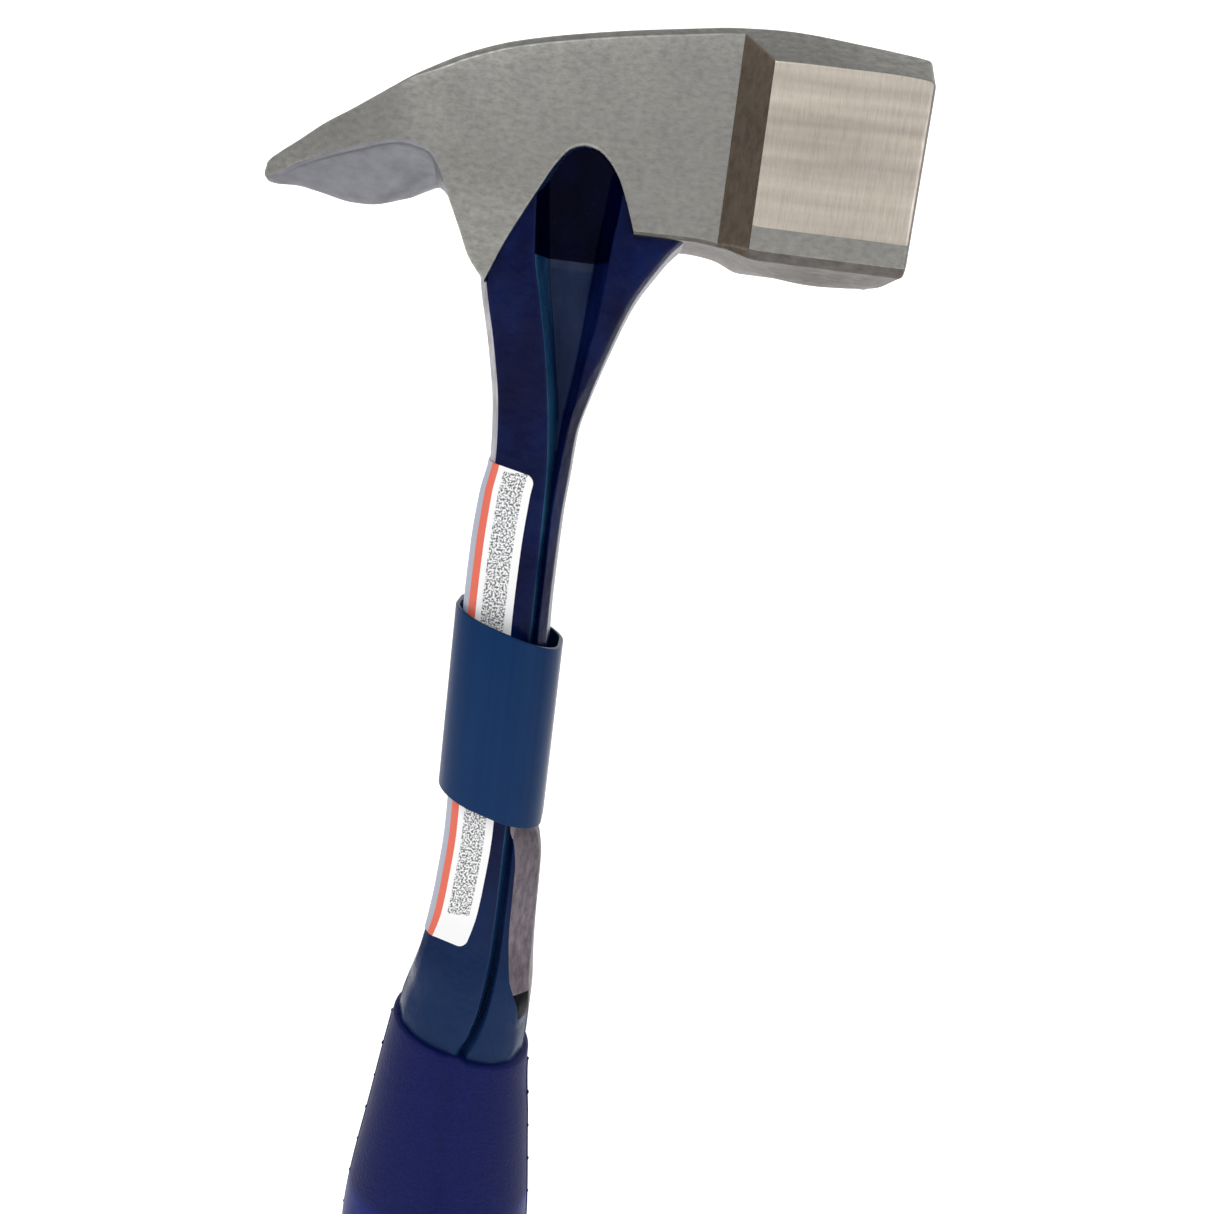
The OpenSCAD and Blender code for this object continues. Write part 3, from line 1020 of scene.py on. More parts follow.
def ground_steel(finish: SteelFinish) -> bpy.types.Material:
    """Steel ground on a belt: fine scratches over broad streaks.

    Args:
        finish: Colours, directions and strengths of the grinding.

    Returns:
        The material.
    """
    material = bpy.data.materials.new(finish.name)
    material.use_nodes = True
    nodes, links = material.node_tree.nodes, material.node_tree.links
    nodes.clear()

    place = nodes.new("ShaderNodeTexCoord")
    place.label = "Place on the steel"
    place.location = (-1300, 0)

    scratch_frame = nodes.new("NodeFrame")
    scratch_frame.label = "Belt scratches"
    run = nodes.new("ShaderNodeMapping")
    run.label = "Direction of the belt"
    run.inputs["Scale"].default_value = finish.grain
    scratch = nodes.new("ShaderNodeTexNoise")
    scratch.label = "Scratches"
    scratch.inputs["Scale"].default_value = 1.0
    scratch.inputs["Detail"].default_value = 5.0
    scratch.inputs["Roughness"].default_value = 0.65
    bite = nodes.new("ShaderNodeMapRange")
    bite.label = "Share of bright scratch"
    bite.inputs["From Min"].default_value = 0.35
    bite.inputs["From Max"].default_value = 0.68
    for i, node in enumerate((run, scratch, bite)):
        node.parent = scratch_frame
        node.location = (-1080 + 200 * i, 250)

    band_frame = nodes.new("NodeFrame")
    band_frame.label = "Broad streaks"
    lay = nodes.new("ShaderNodeMapping")
    lay.label = "Direction of the streaks"
    lay.inputs["Scale"].default_value = finish.bands
    streak = nodes.new("ShaderNodeTexNoise")
    streak.label = "Streaks"
    streak.inputs["Scale"].default_value = 1.0
    streak.inputs["Detail"].default_value = 2.5
    pull = nodes.new("ShaderNodeMapRange")
    pull.label = "Brightness of the streaks"
    pull.inputs["From Min"].default_value = 0.3
    pull.inputs["From Max"].default_value = 0.72
    pull.inputs["To Min"].default_value = 1.0 - finish.band_share
    pull.inputs["To Max"].default_value = 1.0 + finish.band_share
    for i, node in enumerate((lay, streak, pull)):
        node.parent = band_frame
        node.location = (-1080 + 200 * i, -150)

    colour_frame = nodes.new("NodeFrame")
    colour_frame.label = "Colour"
    tone = nodes.new("ShaderNodeMix")
    tone.data_type = "RGBA"
    tone.label = "Dull to bright steel"
    tone.inputs[6].default_value = finish.dull
    tone.inputs[7].default_value = finish.bright
    lit = nodes.new("ShaderNodeMix")
    lit.data_type = "RGBA"
    lit.blend_type = "MULTIPLY"
    lit.label = "Streaks over the steel"
    lit.inputs[0].default_value = 1.0
    for i, node in enumerate((tone, lit)):
        node.parent = colour_frame
        node.location = (-420 + 200 * i, 250)

    surface_frame = nodes.new("NodeFrame")
    surface_frame.label = "Surface"
    rough = nodes.new("ShaderNodeMapRange")
    rough.label = "Rougher between scratches"
    rough.inputs["To Min"].default_value = finish.roughness[1]
    rough.inputs["To Max"].default_value = finish.roughness[0]
    relief = nodes.new("ShaderNodeBump")
    relief.label = "Scratch relief"
    relief.inputs["Distance"].default_value = finish.depth
    for i, node in enumerate((rough, relief)):
        node.parent = surface_frame
        node.location = (-420 + 200 * i, -150)

    shader = nodes.new("ShaderNodeBsdfPrincipled")
    shader.label = "Ground steel"
    shader.location = (60, 100)
    shader.inputs["Metallic"].default_value = 1.0
    shader.inputs["Anisotropic"].default_value = 0.35
    output = nodes.new("ShaderNodeOutputMaterial")
    output.location = (360, 100)

    links.new(place.outputs["Object"], run.inputs["Vector"])
    links.new(run.outputs["Vector"], scratch.inputs["Vector"])
    links.new(scratch.outputs["Fac"], bite.inputs["Value"])
    links.new(place.outputs["Object"], lay.inputs["Vector"])
    links.new(lay.outputs["Vector"], streak.inputs["Vector"])
    links.new(streak.outputs["Fac"], pull.inputs["Value"])
    links.new(bite.outputs["Result"], tone.inputs[0])
    links.new(tone.outputs[2], lit.inputs[6])
    links.new(pull.outputs["Result"], lit.inputs[7])
    links.new(lit.outputs[2], shader.inputs["Base Color"])
    links.new(bite.outputs["Result"], rough.inputs["Value"])
    links.new(rough.outputs["Result"], shader.inputs["Roughness"])
    links.new(scratch.outputs["Fac"], relief.inputs["Height"])
    links.new(relief.outputs["Normal"], shader.inputs["Normal"])
    links.new(shader.outputs["BSDF"], output.inputs["Surface"])
    return material


def enamel(name: str, thick: Colour, thin: Colour, foot: Colour, specular: float) -> bpy.types.Material:
    """Enamel over forged steel, glossy, with soft pooling and a faint forged texture.

    Args:
        name: Name of the material.
        thick: Colour where the enamel has pooled.
        thin: Colour where it has run thin.
        foot: Colour blended in towards the flared foot, a painted light: the navy enamel turns lighter
            there, where the foot's flare catches light.
        specular: Strength of its reflections.

    Returns:
        The material.
    """
    material = bpy.data.materials.new(name)
    material.use_nodes = True
    nodes, links = material.node_tree.nodes, material.node_tree.links
    nodes.clear()

    place = nodes.new("ShaderNodeTexCoord")
    place.label = "Place on the shank"
    place.location = (-1300, 0)

    pool_frame = nodes.new("NodeFrame")
    pool_frame.label = "Pooled enamel"
    run = nodes.new("ShaderNodeMapping")
    run.label = "Runs down the shank"
    run.inputs["Scale"].default_value = (150, 150, 60)
    pool = nodes.new("ShaderNodeTexNoise")
    pool.label = "Thick and thin enamel"
    pool.inputs["Scale"].default_value = 1.0
    pool.inputs["Detail"].default_value = 3.0
    tint = nodes.new("ShaderNodeValToRGB")
    tint.label = "Thick to thin"
    tint.color_ramp.elements[0].position = 0.38
    tint.color_ramp.elements[0].color = thick
    tint.color_ramp.elements[1].position = 0.72
    tint.color_ramp.elements[1].color = thin
    for i, node in enumerate((run, pool, tint)):
        node.parent = pool_frame
        node.location = (-1080 + 200 * i, 250)

    # Towards the foot the colour is blended to the foot colour: painted light where the flared foot catches
    # light.
    foot_frame = nodes.new("NodeFrame")
    foot_frame.label = "Painted light at the foot"
    parts = nodes.new("ShaderNodeSeparateXYZ")
    parts.label = "Height on the shank"
    down = nodes.new("ShaderNodeMapRange")
    down.label = "Towards the foot"
    down.inputs["From Min"].default_value = -0.118
    down.inputs["From Max"].default_value = -0.15
    foot_light = nodes.new("ShaderNodeMix")
    foot_light.data_type = "RGBA"
    foot_light.label = "Painted light towards the foot"
    foot_light.inputs[7].default_value = foot
    for i, node in enumerate((parts, down, foot_light)):
        node.parent = foot_frame
        node.location = (-1080 + 200 * i, 550)

    texture_frame = nodes.new("NodeFrame")
    texture_frame.label = "Forged texture under the enamel"
    orange = nodes.new("ShaderNodeTexNoise")
    orange.label = "Orange peel"
    orange.inputs["Scale"].default_value = 420.0
    orange.inputs["Detail"].default_value = 2.0
    scale = nodes.new("ShaderNodeTexNoise")
    scale.label = "Forging scale"
    scale.inputs["Scale"].default_value = 130.0
    scale.inputs["Detail"].default_value = 3.0
    total = nodes.new("ShaderNodeMath")
    total.operation = "ADD"
    total.label = "Both textures"
    relief = nodes.new("ShaderNodeBump")
    relief.label = "Soft relief"
    relief.inputs["Distance"].default_value = 0.00018
    for i, node in enumerate((orange, scale, total, relief)):
        node.parent = texture_frame
        node.location = (-1080 + 200 * i, -150)

    gloss = nodes.new("ShaderNodeMapRange")
    gloss.label = "Gloss where the enamel is thick"
    gloss.location = (-200, 0)
    gloss.inputs["To Min"].default_value = 0.34
    gloss.inputs["To Max"].default_value = 0.2
    shader = nodes.new("ShaderNodeBsdfPrincipled")
    shader.label = "Enamel"
    shader.location = (60, 100)
    shader.inputs["Specular IOR Level"].default_value = specular
    output = nodes.new("ShaderNodeOutputMaterial")
    output.location = (360, 100)

    links.new(place.outputs["Object"], run.inputs["Vector"])
    links.new(run.outputs["Vector"], pool.inputs["Vector"])
    links.new(pool.outputs["Fac"], tint.inputs["Fac"])
    links.new(place.outputs["Object"], parts.inputs["Vector"])
    links.new(parts.outputs["Z"], down.inputs["Value"])
    links.new(down.outputs["Result"], foot_light.inputs[0])
    links.new(tint.outputs["Color"], foot_light.inputs[6])
    links.new(foot_light.outputs[2], shader.inputs["Base Color"])
    links.new(place.outputs["Object"], orange.inputs["Vector"])
    links.new(place.outputs["Object"], scale.inputs["Vector"])
    links.new(orange.outputs["Fac"], total.inputs[0])
    links.new(scale.outputs["Fac"], total.inputs[1])
    links.new(total.outputs["Value"], relief.inputs["Height"])
    links.new(relief.outputs["Normal"], shader.inputs["Normal"])
    links.new(pool.outputs["Fac"], gloss.inputs["Value"])
    links.new(gloss.outputs["Result"], shader.inputs["Roughness"])
    links.new(shader.outputs["BSDF"], output.inputs["Surface"])
    return material


def vinyl() -> bpy.types.Material:
    """Moulded vinyl: leathery under the rim, smoother and brighter further down."""
    material = bpy.data.materials.new("navy_vinyl")
    material.use_nodes = True
    nodes, links = material.node_tree.nodes, material.node_tree.links
    nodes.clear()

    place = nodes.new("ShaderNodeTexCoord")
    place.label = "Place on the grip"
    place.location = (-1500, 0)

    zone_frame = nodes.new("NodeFrame")
    zone_frame.label = "Where the leathery zone ends"
    parts = nodes.new("ShaderNodeSeparateXYZ")
    parts.label = "Height on the grip"
    wander = nodes.new("ShaderNodeTexNoise")
    wander.label = "Uneven border"
    wander.inputs["Scale"].default_value = 90.0
    shift = nodes.new("ShaderNodeMath")
    shift.operation = "MULTIPLY_ADD"
    shift.label = "Border moved by the noise"
    shift.inputs[1].default_value = 0.004
    zone = nodes.new("ShaderNodeMapRange")
    zone.label = "Leathery above, smooth below"
    zone.inputs["From Min"].default_value = -0.1935
    zone.inputs["From Max"].default_value = -0.1905
    for i, node in enumerate((parts, wander, shift, zone)):
        node.parent = zone_frame
        node.location = (-1280 + 200 * i, 350)

    grain_frame = nodes.new("NodeFrame")
    grain_frame.label = "Moulded grain"
    cells = nodes.new("ShaderNodeTexVoronoi")
    cells.label = "Leather cells"
    cells.inputs["Scale"].default_value = 1800.0
    fine = nodes.new("ShaderNodeTexNoise")
    fine.label = "Fine pebbling"
    fine.inputs["Scale"].default_value = 2400.0
    fine.inputs["Detail"].default_value = 3.0
    blend = nodes.new("ShaderNodeMath")
    blend.operation = "ADD"
    blend.label = "Cells and pebbling"
    faded = nodes.new("ShaderNodeMapRange")
    faded.label = "Grain fades below"
    faded.inputs["To Min"].default_value = 0.25
    faded.inputs["To Max"].default_value = 0.75
    relief = nodes.new("ShaderNodeBump")
    relief.label = "Grain relief"
    relief.inputs["Distance"].default_value = 0.00008
    for i, node in enumerate((cells, fine, blend, faded, relief)):
        node.parent = grain_frame
        node.location = (-1280 + 200 * i, -100)

    colour_frame = nodes.new("NodeFrame")
    colour_frame.label = "Colour"
    tone = nodes.new("ShaderNodeMix")
    tone.data_type = "RGBA"
    tone.label = "Bright below, deep above"
    tone.inputs[6].default_value = srgb(2, 22, 88)
    tone.inputs[7].default_value = srgb(7, 16, 66)
    worn = nodes.new("ShaderNodeMix")
    worn.data_type = "RGBA"
    worn.blend_type = "OVERLAY"
    worn.label = "Dusty between the cells"
    worn.inputs[0].default_value = 0.35
    rough = nodes.new("ShaderNodeMapRange")
    rough.label = "Duller where grained"
    rough.inputs["To Min"].default_value = 0.4
    rough.inputs["To Max"].default_value = 0.52
    for i, node in enumerate((tone, worn, rough)):
        node.parent = colour_frame
        node.location = (-400 + 200 * i, 350)

    shader = nodes.new("ShaderNodeBsdfPrincipled")
    shader.label = "Vinyl"
    shader.location = (260, 100)
    shader.inputs["Specular IOR Level"].default_value = 0.1
    output = nodes.new("ShaderNodeOutputMaterial")
    output.location = (560, 100)

    links.new(place.outputs["Object"], parts.inputs["Vector"])
    links.new(place.outputs["Object"], wander.inputs["Vector"])
    links.new(wander.outputs["Fac"], shift.inputs[0])
    links.new(parts.outputs["Z"], shift.inputs[2])
    links.new(shift.outputs["Value"], zone.inputs["Value"])
    links.new(place.outputs["Object"], cells.inputs["Vector"])
    links.new(place.outputs["Object"], fine.inputs["Vector"])
    links.new(cells.outputs["Distance"], blend.inputs[0])
    links.new(fine.outputs["Fac"], blend.inputs[1])
    links.new(zone.outputs["Result"], faded.inputs["Value"])
    links.new(faded.outputs["Result"], relief.inputs["Strength"])
    links.new(blend.outputs["Value"], relief.inputs["Height"])
    links.new(zone.outputs["Result"], tone.inputs[0])
    links.new(tone.outputs[2], worn.inputs[6])
    links.new(blend.outputs["Value"], worn.inputs[7])
    links.new(worn.outputs[2], shader.inputs["Base Color"])
    links.new(zone.outputs["Result"], rough.inputs["Value"])
    links.new(rough.outputs["Result"], shader.inputs["Roughness"])
    links.new(relief.outputs["Normal"], shader.inputs["Normal"])
    links.new(shader.outputs["BSDF"], output.inputs["Surface"])
    return material


def printed_paper() -> bpy.types.Material:
    """Label paper with a stripe, a grey back and two blocks of unreadable grey speckle."""
    material = bpy.data.materials.new("printed_paper")
    material.use_nodes = True
    nodes, links = material.node_tree.nodes, material.node_tree.links
    nodes.clear()

    place = nodes.new("ShaderNodeTexCoord")
    place.label = "Place on the flat label"
    place.location = (-1700, 0)
    parts = nodes.new("ShaderNodeSeparateXYZ")
    parts.label = "Across and along"
    parts.location = (-1500, 0)
    fold = nodes.new("ShaderNodeMath")
    fold.operation = "SUBTRACT"
    fold.label = "Across from the middle"
    fold.inputs[1].default_value = 0.5
    fold.location = (-1300, 150)
    out = nodes.new("ShaderNodeMath")
    out.operation = "ABSOLUTE"
    out.label = "Distance from the middle"
    out.location = (-1100, 150)

    layout_frame = nodes.new("NodeFrame")
    layout_frame.label = "Layout across the label"
    layout = nodes.new("ShaderNodeValToRGB")
    layout.label = "Grey back, stripe, white"
    ramp = layout.color_ramp
    ramp.interpolation = "CONSTANT"
    ramp.elements[0].position = 0.0
    ramp.elements[0].color = srgb(168, 174, 190)
    ramp.elements[1].position = 0.232
    ramp.elements[1].color = srgb(226, 104, 82)
    white = ramp.elements.new(0.277)
    white.color = srgb(246, 246, 247)
    block = nodes.new("ShaderNodeValToRGB")
    block.label = "Where the speckle is printed"
    ramp = block.color_ramp
    ramp.interpolation = "CONSTANT"
    ramp.elements[0].color = (0, 0, 0, 1)
    ramp.elements[1].position = 0.312
    ramp.elements[1].color = (1, 1, 1, 1)
    margin = ramp.elements.new(0.45)
    margin.color = (0, 0, 0, 1)
    ends = nodes.new("ShaderNodeValToRGB")
    ends.label = "Blank at both ends"
    ramp = ends.color_ramp
    ramp.interpolation = "CONSTANT"
    ramp.elements[0].color = (0, 0, 0, 1)
    ramp.elements[1].position = 0.035
    ramp.elements[1].color = (1, 1, 1, 1)
    head = ramp.elements.new(0.965)
    head.color = (0, 0, 0, 1)
    for i, node in enumerate((layout, block, ends)):
        node.parent = layout_frame
        node.location = (-850, 400 - 260 * i)

    speckle_frame = nodes.new("NodeFrame")
    speckle_frame.label = "Unreadable speckle"
    pitch = nodes.new("ShaderNodeMapping")
    pitch.label = "Pitch of the speckle"
    pitch.inputs["Scale"].default_value = (84, 240, 1)
    dots = nodes.new("ShaderNodeTexNoise")
    dots.label = "Speckle"
    dots.inputs["Scale"].default_value = 1.0
    dots.inputs["Detail"].default_value = 2.0
    ink = nodes.new("ShaderNodeMapRange")
    ink.label = "Ink or paper"
    ink.inputs["From Min"].default_value = 0.44
    ink.inputs["From Max"].default_value = 0.58
    for i, node in enumerate((pitch, dots, ink)):
        node.parent = speckle_frame
        node.location = (-1250 + 200 * i, -550)

    inked = nodes.new("ShaderNodeMath")
    inked.operation = "MULTIPLY"
    inked.label = "Inside the block's width"
    inked.location = (-500, 0)
    kept = nodes.new("ShaderNodeMath")
    kept.operation = "MULTIPLY"
    kept.label = "Inside the block's length"
    kept.location = (-320, 0)
    printed = nodes.new("ShaderNodeMix")
    printed.data_type = "RGBA"
    printed.label = "Ink on paper"
    printed.inputs[7].default_value = srgb(92, 94, 100)
    printed.location = (-120, 200)
    fibre = nodes.new("ShaderNodeTexNoise")
    fibre.label = "Paper fibre"
    fibre.inputs["Scale"].default_value = 240.0
    fibre.location = (-320, -300)
    relief = nodes.new("ShaderNodeBump")
    relief.label = "Fibre relief"
    relief.inputs["Distance"].default_value = 0.00002
    relief.location = (-120, -300)
    shader = nodes.new("ShaderNodeBsdfPrincipled")
    shader.label = "Coated paper"
    shader.location = (100, 100)
    shader.inputs["Roughness"].default_value = 0.5
    output = nodes.new("ShaderNodeOutputMaterial")
    output.location = (400, 100)

    links.new(place.outputs["UV"], parts.inputs["Vector"])
    links.new(parts.outputs["X"], fold.inputs[0])
    links.new(fold.outputs["Value"], out.inputs[0])
    links.new(out.outputs["Value"], layout.inputs["Fac"])
    links.new(out.outputs["Value"], block.inputs["Fac"])
    links.new(parts.outputs["Y"], ends.inputs["Fac"])
    links.new(place.outputs["UV"], pitch.inputs["Vector"])
    links.new(pitch.outputs["Vector"], dots.inputs["Vector"])
    links.new(dots.outputs["Fac"], ink.inputs["Value"])
    links.new(ink.outputs["Result"], inked.inputs[0])
    links.new(block.outputs["Color"], inked.inputs[1])
    links.new(inked.outputs["Value"], kept.inputs[0])
    links.new(ends.outputs["Color"], kept.inputs[1])
    links.new(kept.outputs["Value"], printed.inputs[0])
    links.new(layout.outputs["Color"], printed.inputs[6])
    links.new(printed.outputs[2], shader.inputs["Base Color"])
    links.new(place.outputs["UV"], fibre.inputs["Vector"])
    links.new(fibre.outputs["Fac"], relief.inputs["Height"])
    links.new(relief.outputs["Normal"], shader.inputs["Normal"])
    links.new(shader.outputs["BSDF"], output.inputs["Surface"])
    return material


def band_plastic() -> bpy.types.Material:
    """Satin blue plastic with faint lengthwise draw lines."""
    material = bpy.data.materials.new("blue_band_plastic")
    material.use_nodes = True
    nodes, links = material.node_tree.nodes, material.node_tree.links
    nodes.clear()

    place = nodes.new("ShaderNodeTexCoord")
    place.label = "Place on the band"
    place.location = (-1100, 0)
    draw_frame = nodes.new("NodeFrame")
    draw_frame.label = "Draw lines"
    run = nodes.new("ShaderNodeMapping")
    run.label = "Lines run along the shank"
    run.inputs["Scale"].default_value = (900, 900, 12)
    lines = nodes.new("ShaderNodeTexNoise")
    lines.label = "Draw lines"
    lines.inputs["Scale"].default_value = 1.0
    lines.inputs["Detail"].default_value = 3.0
    for i, node in enumerate((run, lines)):
        node.parent = draw_frame
        node.location = (-880 + 200 * i, 100)
    tint = nodes.new("ShaderNodeMix")
    tint.data_type = "RGBA"
    tint.label = "Blue of the plastic"
    tint.inputs[6].default_value = srgb(0, 36, 78)
    tint.inputs[7].default_value = srgb(8, 50, 94)
    tint.location = (-420, 200)
    satin = nodes.new("ShaderNodeMapRange")
    satin.label = "Satin"
    satin.inputs["To Min"].default_value = 0.3
    satin.inputs["To Max"].default_value = 0.4
    satin.location = (-420, 0)
    relief = nodes.new("ShaderNodeBump")
    relief.label = "Line relief"
    relief.inputs["Distance"].default_value = 0.00003
    relief.location = (-420, -250)
    shader = nodes.new("ShaderNodeBsdfPrincipled")
    shader.label = "Band plastic"
    shader.location = (-160, 100)
    shader.inputs["Specular IOR Level"].default_value = 0.12
    output = nodes.new("ShaderNodeOutputMaterial")
    output.location = (140, 100)

    links.new(place.outputs["Object"], run.inputs["Vector"])
    links.new(run.outputs["Vector"], lines.inputs["Vector"])
    links.new(lines.outputs["Fac"], tint.inputs[0])
    links.new(tint.outputs[2], shader.inputs["Base Color"])
    links.new(lines.outputs["Fac"], satin.inputs["Value"])
    links.new(satin.outputs["Result"], shader.inputs["Roughness"])
    links.new(lines.outputs["Fac"], relief.inputs["Height"])
    links.new(relief.outputs["Normal"], shader.inputs["Normal"])
    links.new(shader.outputs["BSDF"], output.inputs["Surface"])
    return material


def studio_paper() -> bpy.types.Material:
    """White background paper with a faint tooth."""
    material = bpy.data.materials.new("studio_paper")
    material.use_nodes = True
    nodes, links = material.node_tree.nodes, material.node_tree.links
    nodes.clear()
    place = nodes.new("ShaderNodeTexCoord")
    place.label = "Place on the paper"
    tooth = nodes.new("ShaderNodeTexNoise")
    tooth.label = "Tooth"
    tooth.inputs["Scale"].default_value = 60.0
    relief = nodes.new("ShaderNodeBump")
    relief.label = "Tooth relief"
    relief.inputs["Distance"].default_value = 0.0001
    shader = nodes.new("ShaderNodeBsdfPrincipled")
    shader.label = "White paper"
    shader.inputs["Base Color"].default_value = (0.93, 0.925, 0.915, 1)
    shader.inputs["Roughness"].default_value = 0.9
    shader.inputs["Emission Color"].default_value = (1.0, 0.995, 0.985, 1)
    shader.inputs["Emission Strength"].default_value = 0.5
    output = nodes.new("ShaderNodeOutputMaterial")
    for i, node in enumerate((place, tooth, relief, shader, output)):
        node.location = (240 * i, 0)
    links.new(place.outputs["Object"], tooth.inputs["Vector"])
    links.new(tooth.outputs["Fac"], relief.inputs["Height"])
    links.new(relief.outputs["Normal"], shader.inputs["Normal"])
    links.new(shader.outputs["BSDF"], output.inputs["Surface"])
    return material


# Scratches run across their finest direction: a small scale along an axis stretches them along it.
CHEEK_STEEL = SteelFinish(
    "cheek_steel", srgb(140, 139, 135), srgb(166, 165, 161), (700, 500, 1300), (150, 150, 150),
    0.05, (0.42, 0.52), 0.00002)
# Brushed steel painted far lighter than the cheek, with strong broad streaks: painted reflection.
POLL_STEEL = SteelFinish(
    "poll_side_steel", srgb(206, 195, 182), srgb(246, 236, 223), (2600, 600, 260), (18, 60, 280),
    0.28, (0.3, 0.42), 0.00002)
# Darker, browner copy of the steel: painted dark reflection on the neck bevel.
BEVEL_STEEL = SteelFinish(
    "neck_bevel_steel", srgb(98, 88, 78), srgb(126, 114, 102), (900, 900, 500), (60, 60, 90),
    0.1, (0.38, 0.5), 0.00003)
UNDER_STEEL = SteelFinish(
    "underside_steel", srgb(118, 119, 125), srgb(132, 133, 139), (300, 500, 300), (70, 60, 160),
    0.14, (0.34, 0.44), 0.00001)
CROWN_STEEL = SteelFinish(
    "crown_steel", srgb(148, 146, 152), srgb(188, 186, 192), (1400, 900, 90), (60, 60, 60),
    0.1, (0.3, 0.42), 0.00002)
# Darker copy of the steel: painted dark reflection on the front bevel.
STRIP_STEEL = SteelFinish(
    "strip_steel", srgb(92, 86, 93), srgb(120, 112, 119), (900, 900, 400), (60, 60, 60),
    0.12, (0.42, 0.55), 0.00003)
# Dark copy of the steel: painted shade under the poll.
POLL_UNDER_STEEL = SteelFinish(
    "poll_under_steel", srgb(88, 84, 82), srgb(108, 104, 101), (500, 900, 700), (90, 60, 90),
    0.15, (0.4, 0.5), 0.00002)
FORGING_FINISHES = {
    Finish.CHEEK: ground_steel(CHEEK_STEEL),
    Finish.POLL_SIDE: ground_steel(POLL_STEEL),
    Finish.NECK_BEVEL: ground_steel(BEVEL_STEEL),
    Finish.UNDERSIDE: ground_steel(UNDER_STEEL),
    Finish.CROWN: ground_steel(CROWN_STEEL),
    Finish.STRIP: ground_steel(STRIP_STEEL),
    Finish.POLL_UNDER: ground_steel(POLL_UNDER_STEEL),
    Finish.ENAMEL: enamel("navy_enamel", srgb(2, 7, 46), srgb(7, 24, 72), srgb(18, 42, 80), 0.1),
    # Near-black copy of the enamel: painted shade.
    Finish.PAINTED_SHADE: enamel("painted_shade_enamel", srgb(0, 1, 20), srgb(2, 4, 36), srgb(2, 3, 12), 0.03),
    # Bright teal copy of the enamel: painted highlight.
    Finish.THIN: enamel("painted_highlight_enamel", srgb(10, 46, 88), srgb(44, 92, 122), srgb(16, 44, 84), 0.3),
    # Lighter grey-blue copy of the enamel: painted light.
    Finish.PAINTED_LIGHT: enamel("painted_light_enamel", srgb(14, 30, 64), srgb(40, 54, 86), srgb(40, 54, 86), 0.15),
}
VINYL = vinyl()
LABEL_PAPER = printed_paper()
BAND_PLASTIC = band_plastic()


# ---------- studio ----------


@dataclass(frozen=True)
class Lamp:
    """A soft rectangular lamp.

    Attributes:
        name: Its name.
        place: Where it stands, in metres.
        aim: What it points at, in metres.
        size: Width and height, in metres.
        watts: Its power.
        colour: Colour of its light.
    """

    name: str
    place: tuple[float, float, float]
    aim: tuple[float, float, float]
    size: tuple[float, float]
    watts: float
    colour: tuple[float, float, float] = (1.0, 1.0, 1.0)

    def build(self) -> None:
        """Hang the lamp and point it."""
        light = bpy.data.lights.new(self.name, "AREA")
        light.shape = "RECTANGLE"
        light.size, light.size_y = self.size
        light.energy = self.watts
        light.color = self.colour
        lamp = bpy.data.objects.new(self.name, light)
        lamp.visible_camera = False
        lamp.location = self.place
        aim = Vector(self.aim) - Vector(self.place)
        lamp.rotation_euler = aim.to_track_quat("-Z", "Y").to_euler()
        bpy.context.scene.collection.objects.link(lamp)


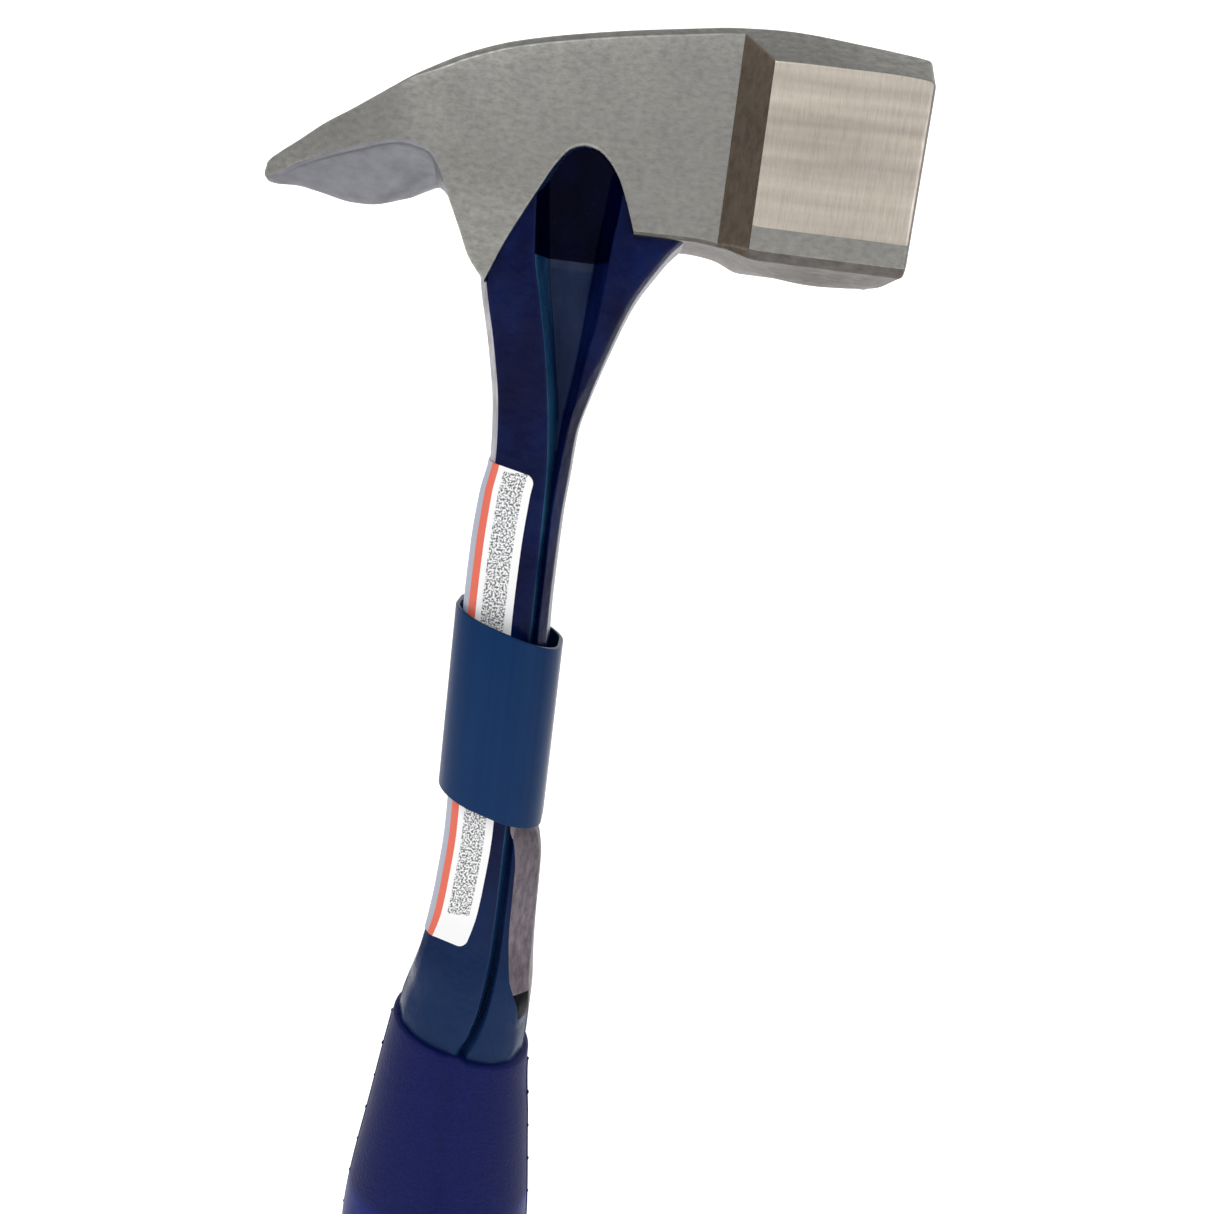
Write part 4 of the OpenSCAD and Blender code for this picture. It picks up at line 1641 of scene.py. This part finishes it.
@dataclass(frozen=True)
class Studio:
    """Pale paper under and behind the hammer, soft lamps and the camera.

    Attributes:
        floor: Height of the paper under the butt, in metres.
        wall: How far behind the hammer the paper stands up, in metres.
        bend: Radius of the paper's bend, in metres.
        lamps: The lamps.
        eye: Where the camera stands, in metres.
        away: Direction of +Y as the camera sees it, as right, down and forward.
        down: Direction of -Z as the camera sees it.
        lens: Focal length of the camera, in millimetres.
    """

    floor: float
    wall: float = 0.75
    bend: float = 0.3
    lamps: tuple[Lamp, ...] = (
        Lamp("key", (-0.45, -0.8, 0.6), (-0.05, 0, -0.1), (0.5, 0.5), 4.0),
        Lamp("fill", (0.7, -0.8, 0.0), (-0.05, 0, -0.1), (0.7, 0.9), 1.5),
    )
    eye: tuple[float, float, float] = (-0.0384, -0.205, -0.0334)
    away: tuple[float, float, float] = (0.028, -0.203, 0.978)
    down: tuple[float, float, float] = (-0.121, 0.972, 0.205)
    lens: float = 35.32

    def build(self) -> None:
        """Set up the paper, the lamps, the surrounding light and the camera."""
        self.paper()
        for lamp in self.lamps:
            lamp.build()
        self.surround()
        self.camera()

    def paper(self) -> None:
        """Lay a sheet of paper that bends up behind the hammer."""
        width, front, top = 3.0, -3.0, 2.4
        line = [(front, self.floor)]
        for k in range(13):
            angle = math.pi / 2 * k / 12
            line.append((self.wall - self.bend + self.bend * math.sin(angle),
                         self.floor + self.bend * (1 - math.cos(angle))))
        line.append((self.wall, top))
        spots = [(x, y, z) for y, z in line for x in (-width, width)]
        faces = [(2 * i, 2 * i + 1, 2 * i + 3, 2 * i + 2) for i in range(len(line) - 1)]
        mesh = bpy.data.meshes.new("studio_paper")
        mesh.from_pydata(spots, [], faces)
        mesh.materials.append(studio_paper())
        mesh.shade_smooth()
        paper = bpy.data.objects.new("studio_paper", mesh)
        bpy.context.scene.collection.objects.link(paper)

    def surround(self) -> None:
        """Fill the room with soft light."""
        world = bpy.data.worlds.new("studio")
        bpy.context.scene.world = world
        world.use_nodes = True
        glow = world.node_tree.nodes["Background"]
        glow.inputs["Color"].default_value = (1.0, 1.0, 1.0, 1.0)
        glow.inputs["Strength"].default_value = 0.4

    def camera(self) -> None:
        """Stand the camera where it looks down on the shank from the side."""
        away = Vector(self.away).normalized()
        down = Vector(self.down)
        down = (down - away * down.dot(away)).normalized()
        out = down.cross(away)
        turn = Matrix((
            (out.x, -out.y, -out.z), (away.x, -away.y, -away.z), (-down.x, down.y, down.z)))
        lens = bpy.data.cameras.new("camera")
        lens.lens = self.lens
        lens.sensor_width = 36.0
        lens.clip_start = 0.01
        camera = bpy.data.objects.new("camera", lens)
        camera.matrix_world = Matrix.Translation(self.eye) @ turn.to_4x4()
        bpy.context.scene.collection.objects.link(camera)
        bpy.context.scene.camera = camera


# ---------- the hammer ----------


def box_mm(node: str) -> tuple[Vector, Vector]:
    """Lowest and highest corner of a CAD node, in millimetres."""
    low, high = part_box(node)
    return low / MM, high / MM


def report(piece: bpy.types.Object) -> None:
    """Log a finished piece's name and size."""
    size = [round(s / MM, 1) for s in piece.dimensions]
    LOG.info("%s: %d faces, %s mm", piece.name, len(piece.data.polygons), size)


@dataclass(frozen=True)
class Hammer:
    """The whole hammer, each piece on the body that it moves with."""

    def build(self) -> None:
        """Make the forging, the grip, the label and the band."""
        forging_low, _ = box_mm("forged_body")
        grip_low, _ = box_mm("moulded_grip")
        label_low, label_high = box_mm("neck_label")
        band_low, band_high = box_mm("loose_band")

        shank = Shank()
        forging = Head(length=-forging_low.x).build()
        forging.name = "forged_hammer"
        bar = shank.build()
        combine(forging, bar, "UNION")
        shade(forging, 28)
        self.fit(forging, "hammer", "forged_body")

        grip = Grip(top=GRIP_TOP, bottom=-grip_low.z).build(bar)
        grip.data.materials.clear()
        grip.data.materials.append(VINYL)
        for face in grip.data.polygons:
            face.material_index = 0
        shade(grip, 40)
        self.fit(grip, "hammer", "moulded_grip")
        bpy.data.objects.remove(bar)

        trimmed = 1.9
        label = Label(top=-label_high.z, length=label_high.z - label_low.z - trimmed).build(shank)
        shade(label, 50)
        self.fit(label, "hammer", "neck_label")

        band = Band(
            back=band_low.x, front=band_high.x, half=band_high.y, top=-band_high.z,
            low=-band_low.z).build()
        shade(band, 40)
        self.fit(band, "band", "loose_band")

    def fit(self, piece: bpy.types.Object, body: str, node: str) -> None:
        """Put a finished piece on its body in place of a CAD node.

        Args:
            piece: The finished piece.
            body: The body that it moves with.
            node: The CAD node that it stands for.
        """
        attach(piece, body)
        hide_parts(node)
        report(piece)


def main() -> None:
    """Build the hammer and its studio."""
    logging.basicConfig(level=logging.INFO, format="%(name)s: %(message)s")
    bpy.context.scene.view_settings.view_transform = "Standard"
    Hammer().build()
    Studio(floor=CAD_BOUNDS[0].z - 0.0005).build()
    bpy.context.view_layer.update()


if __name__ == "__main__":
    main()
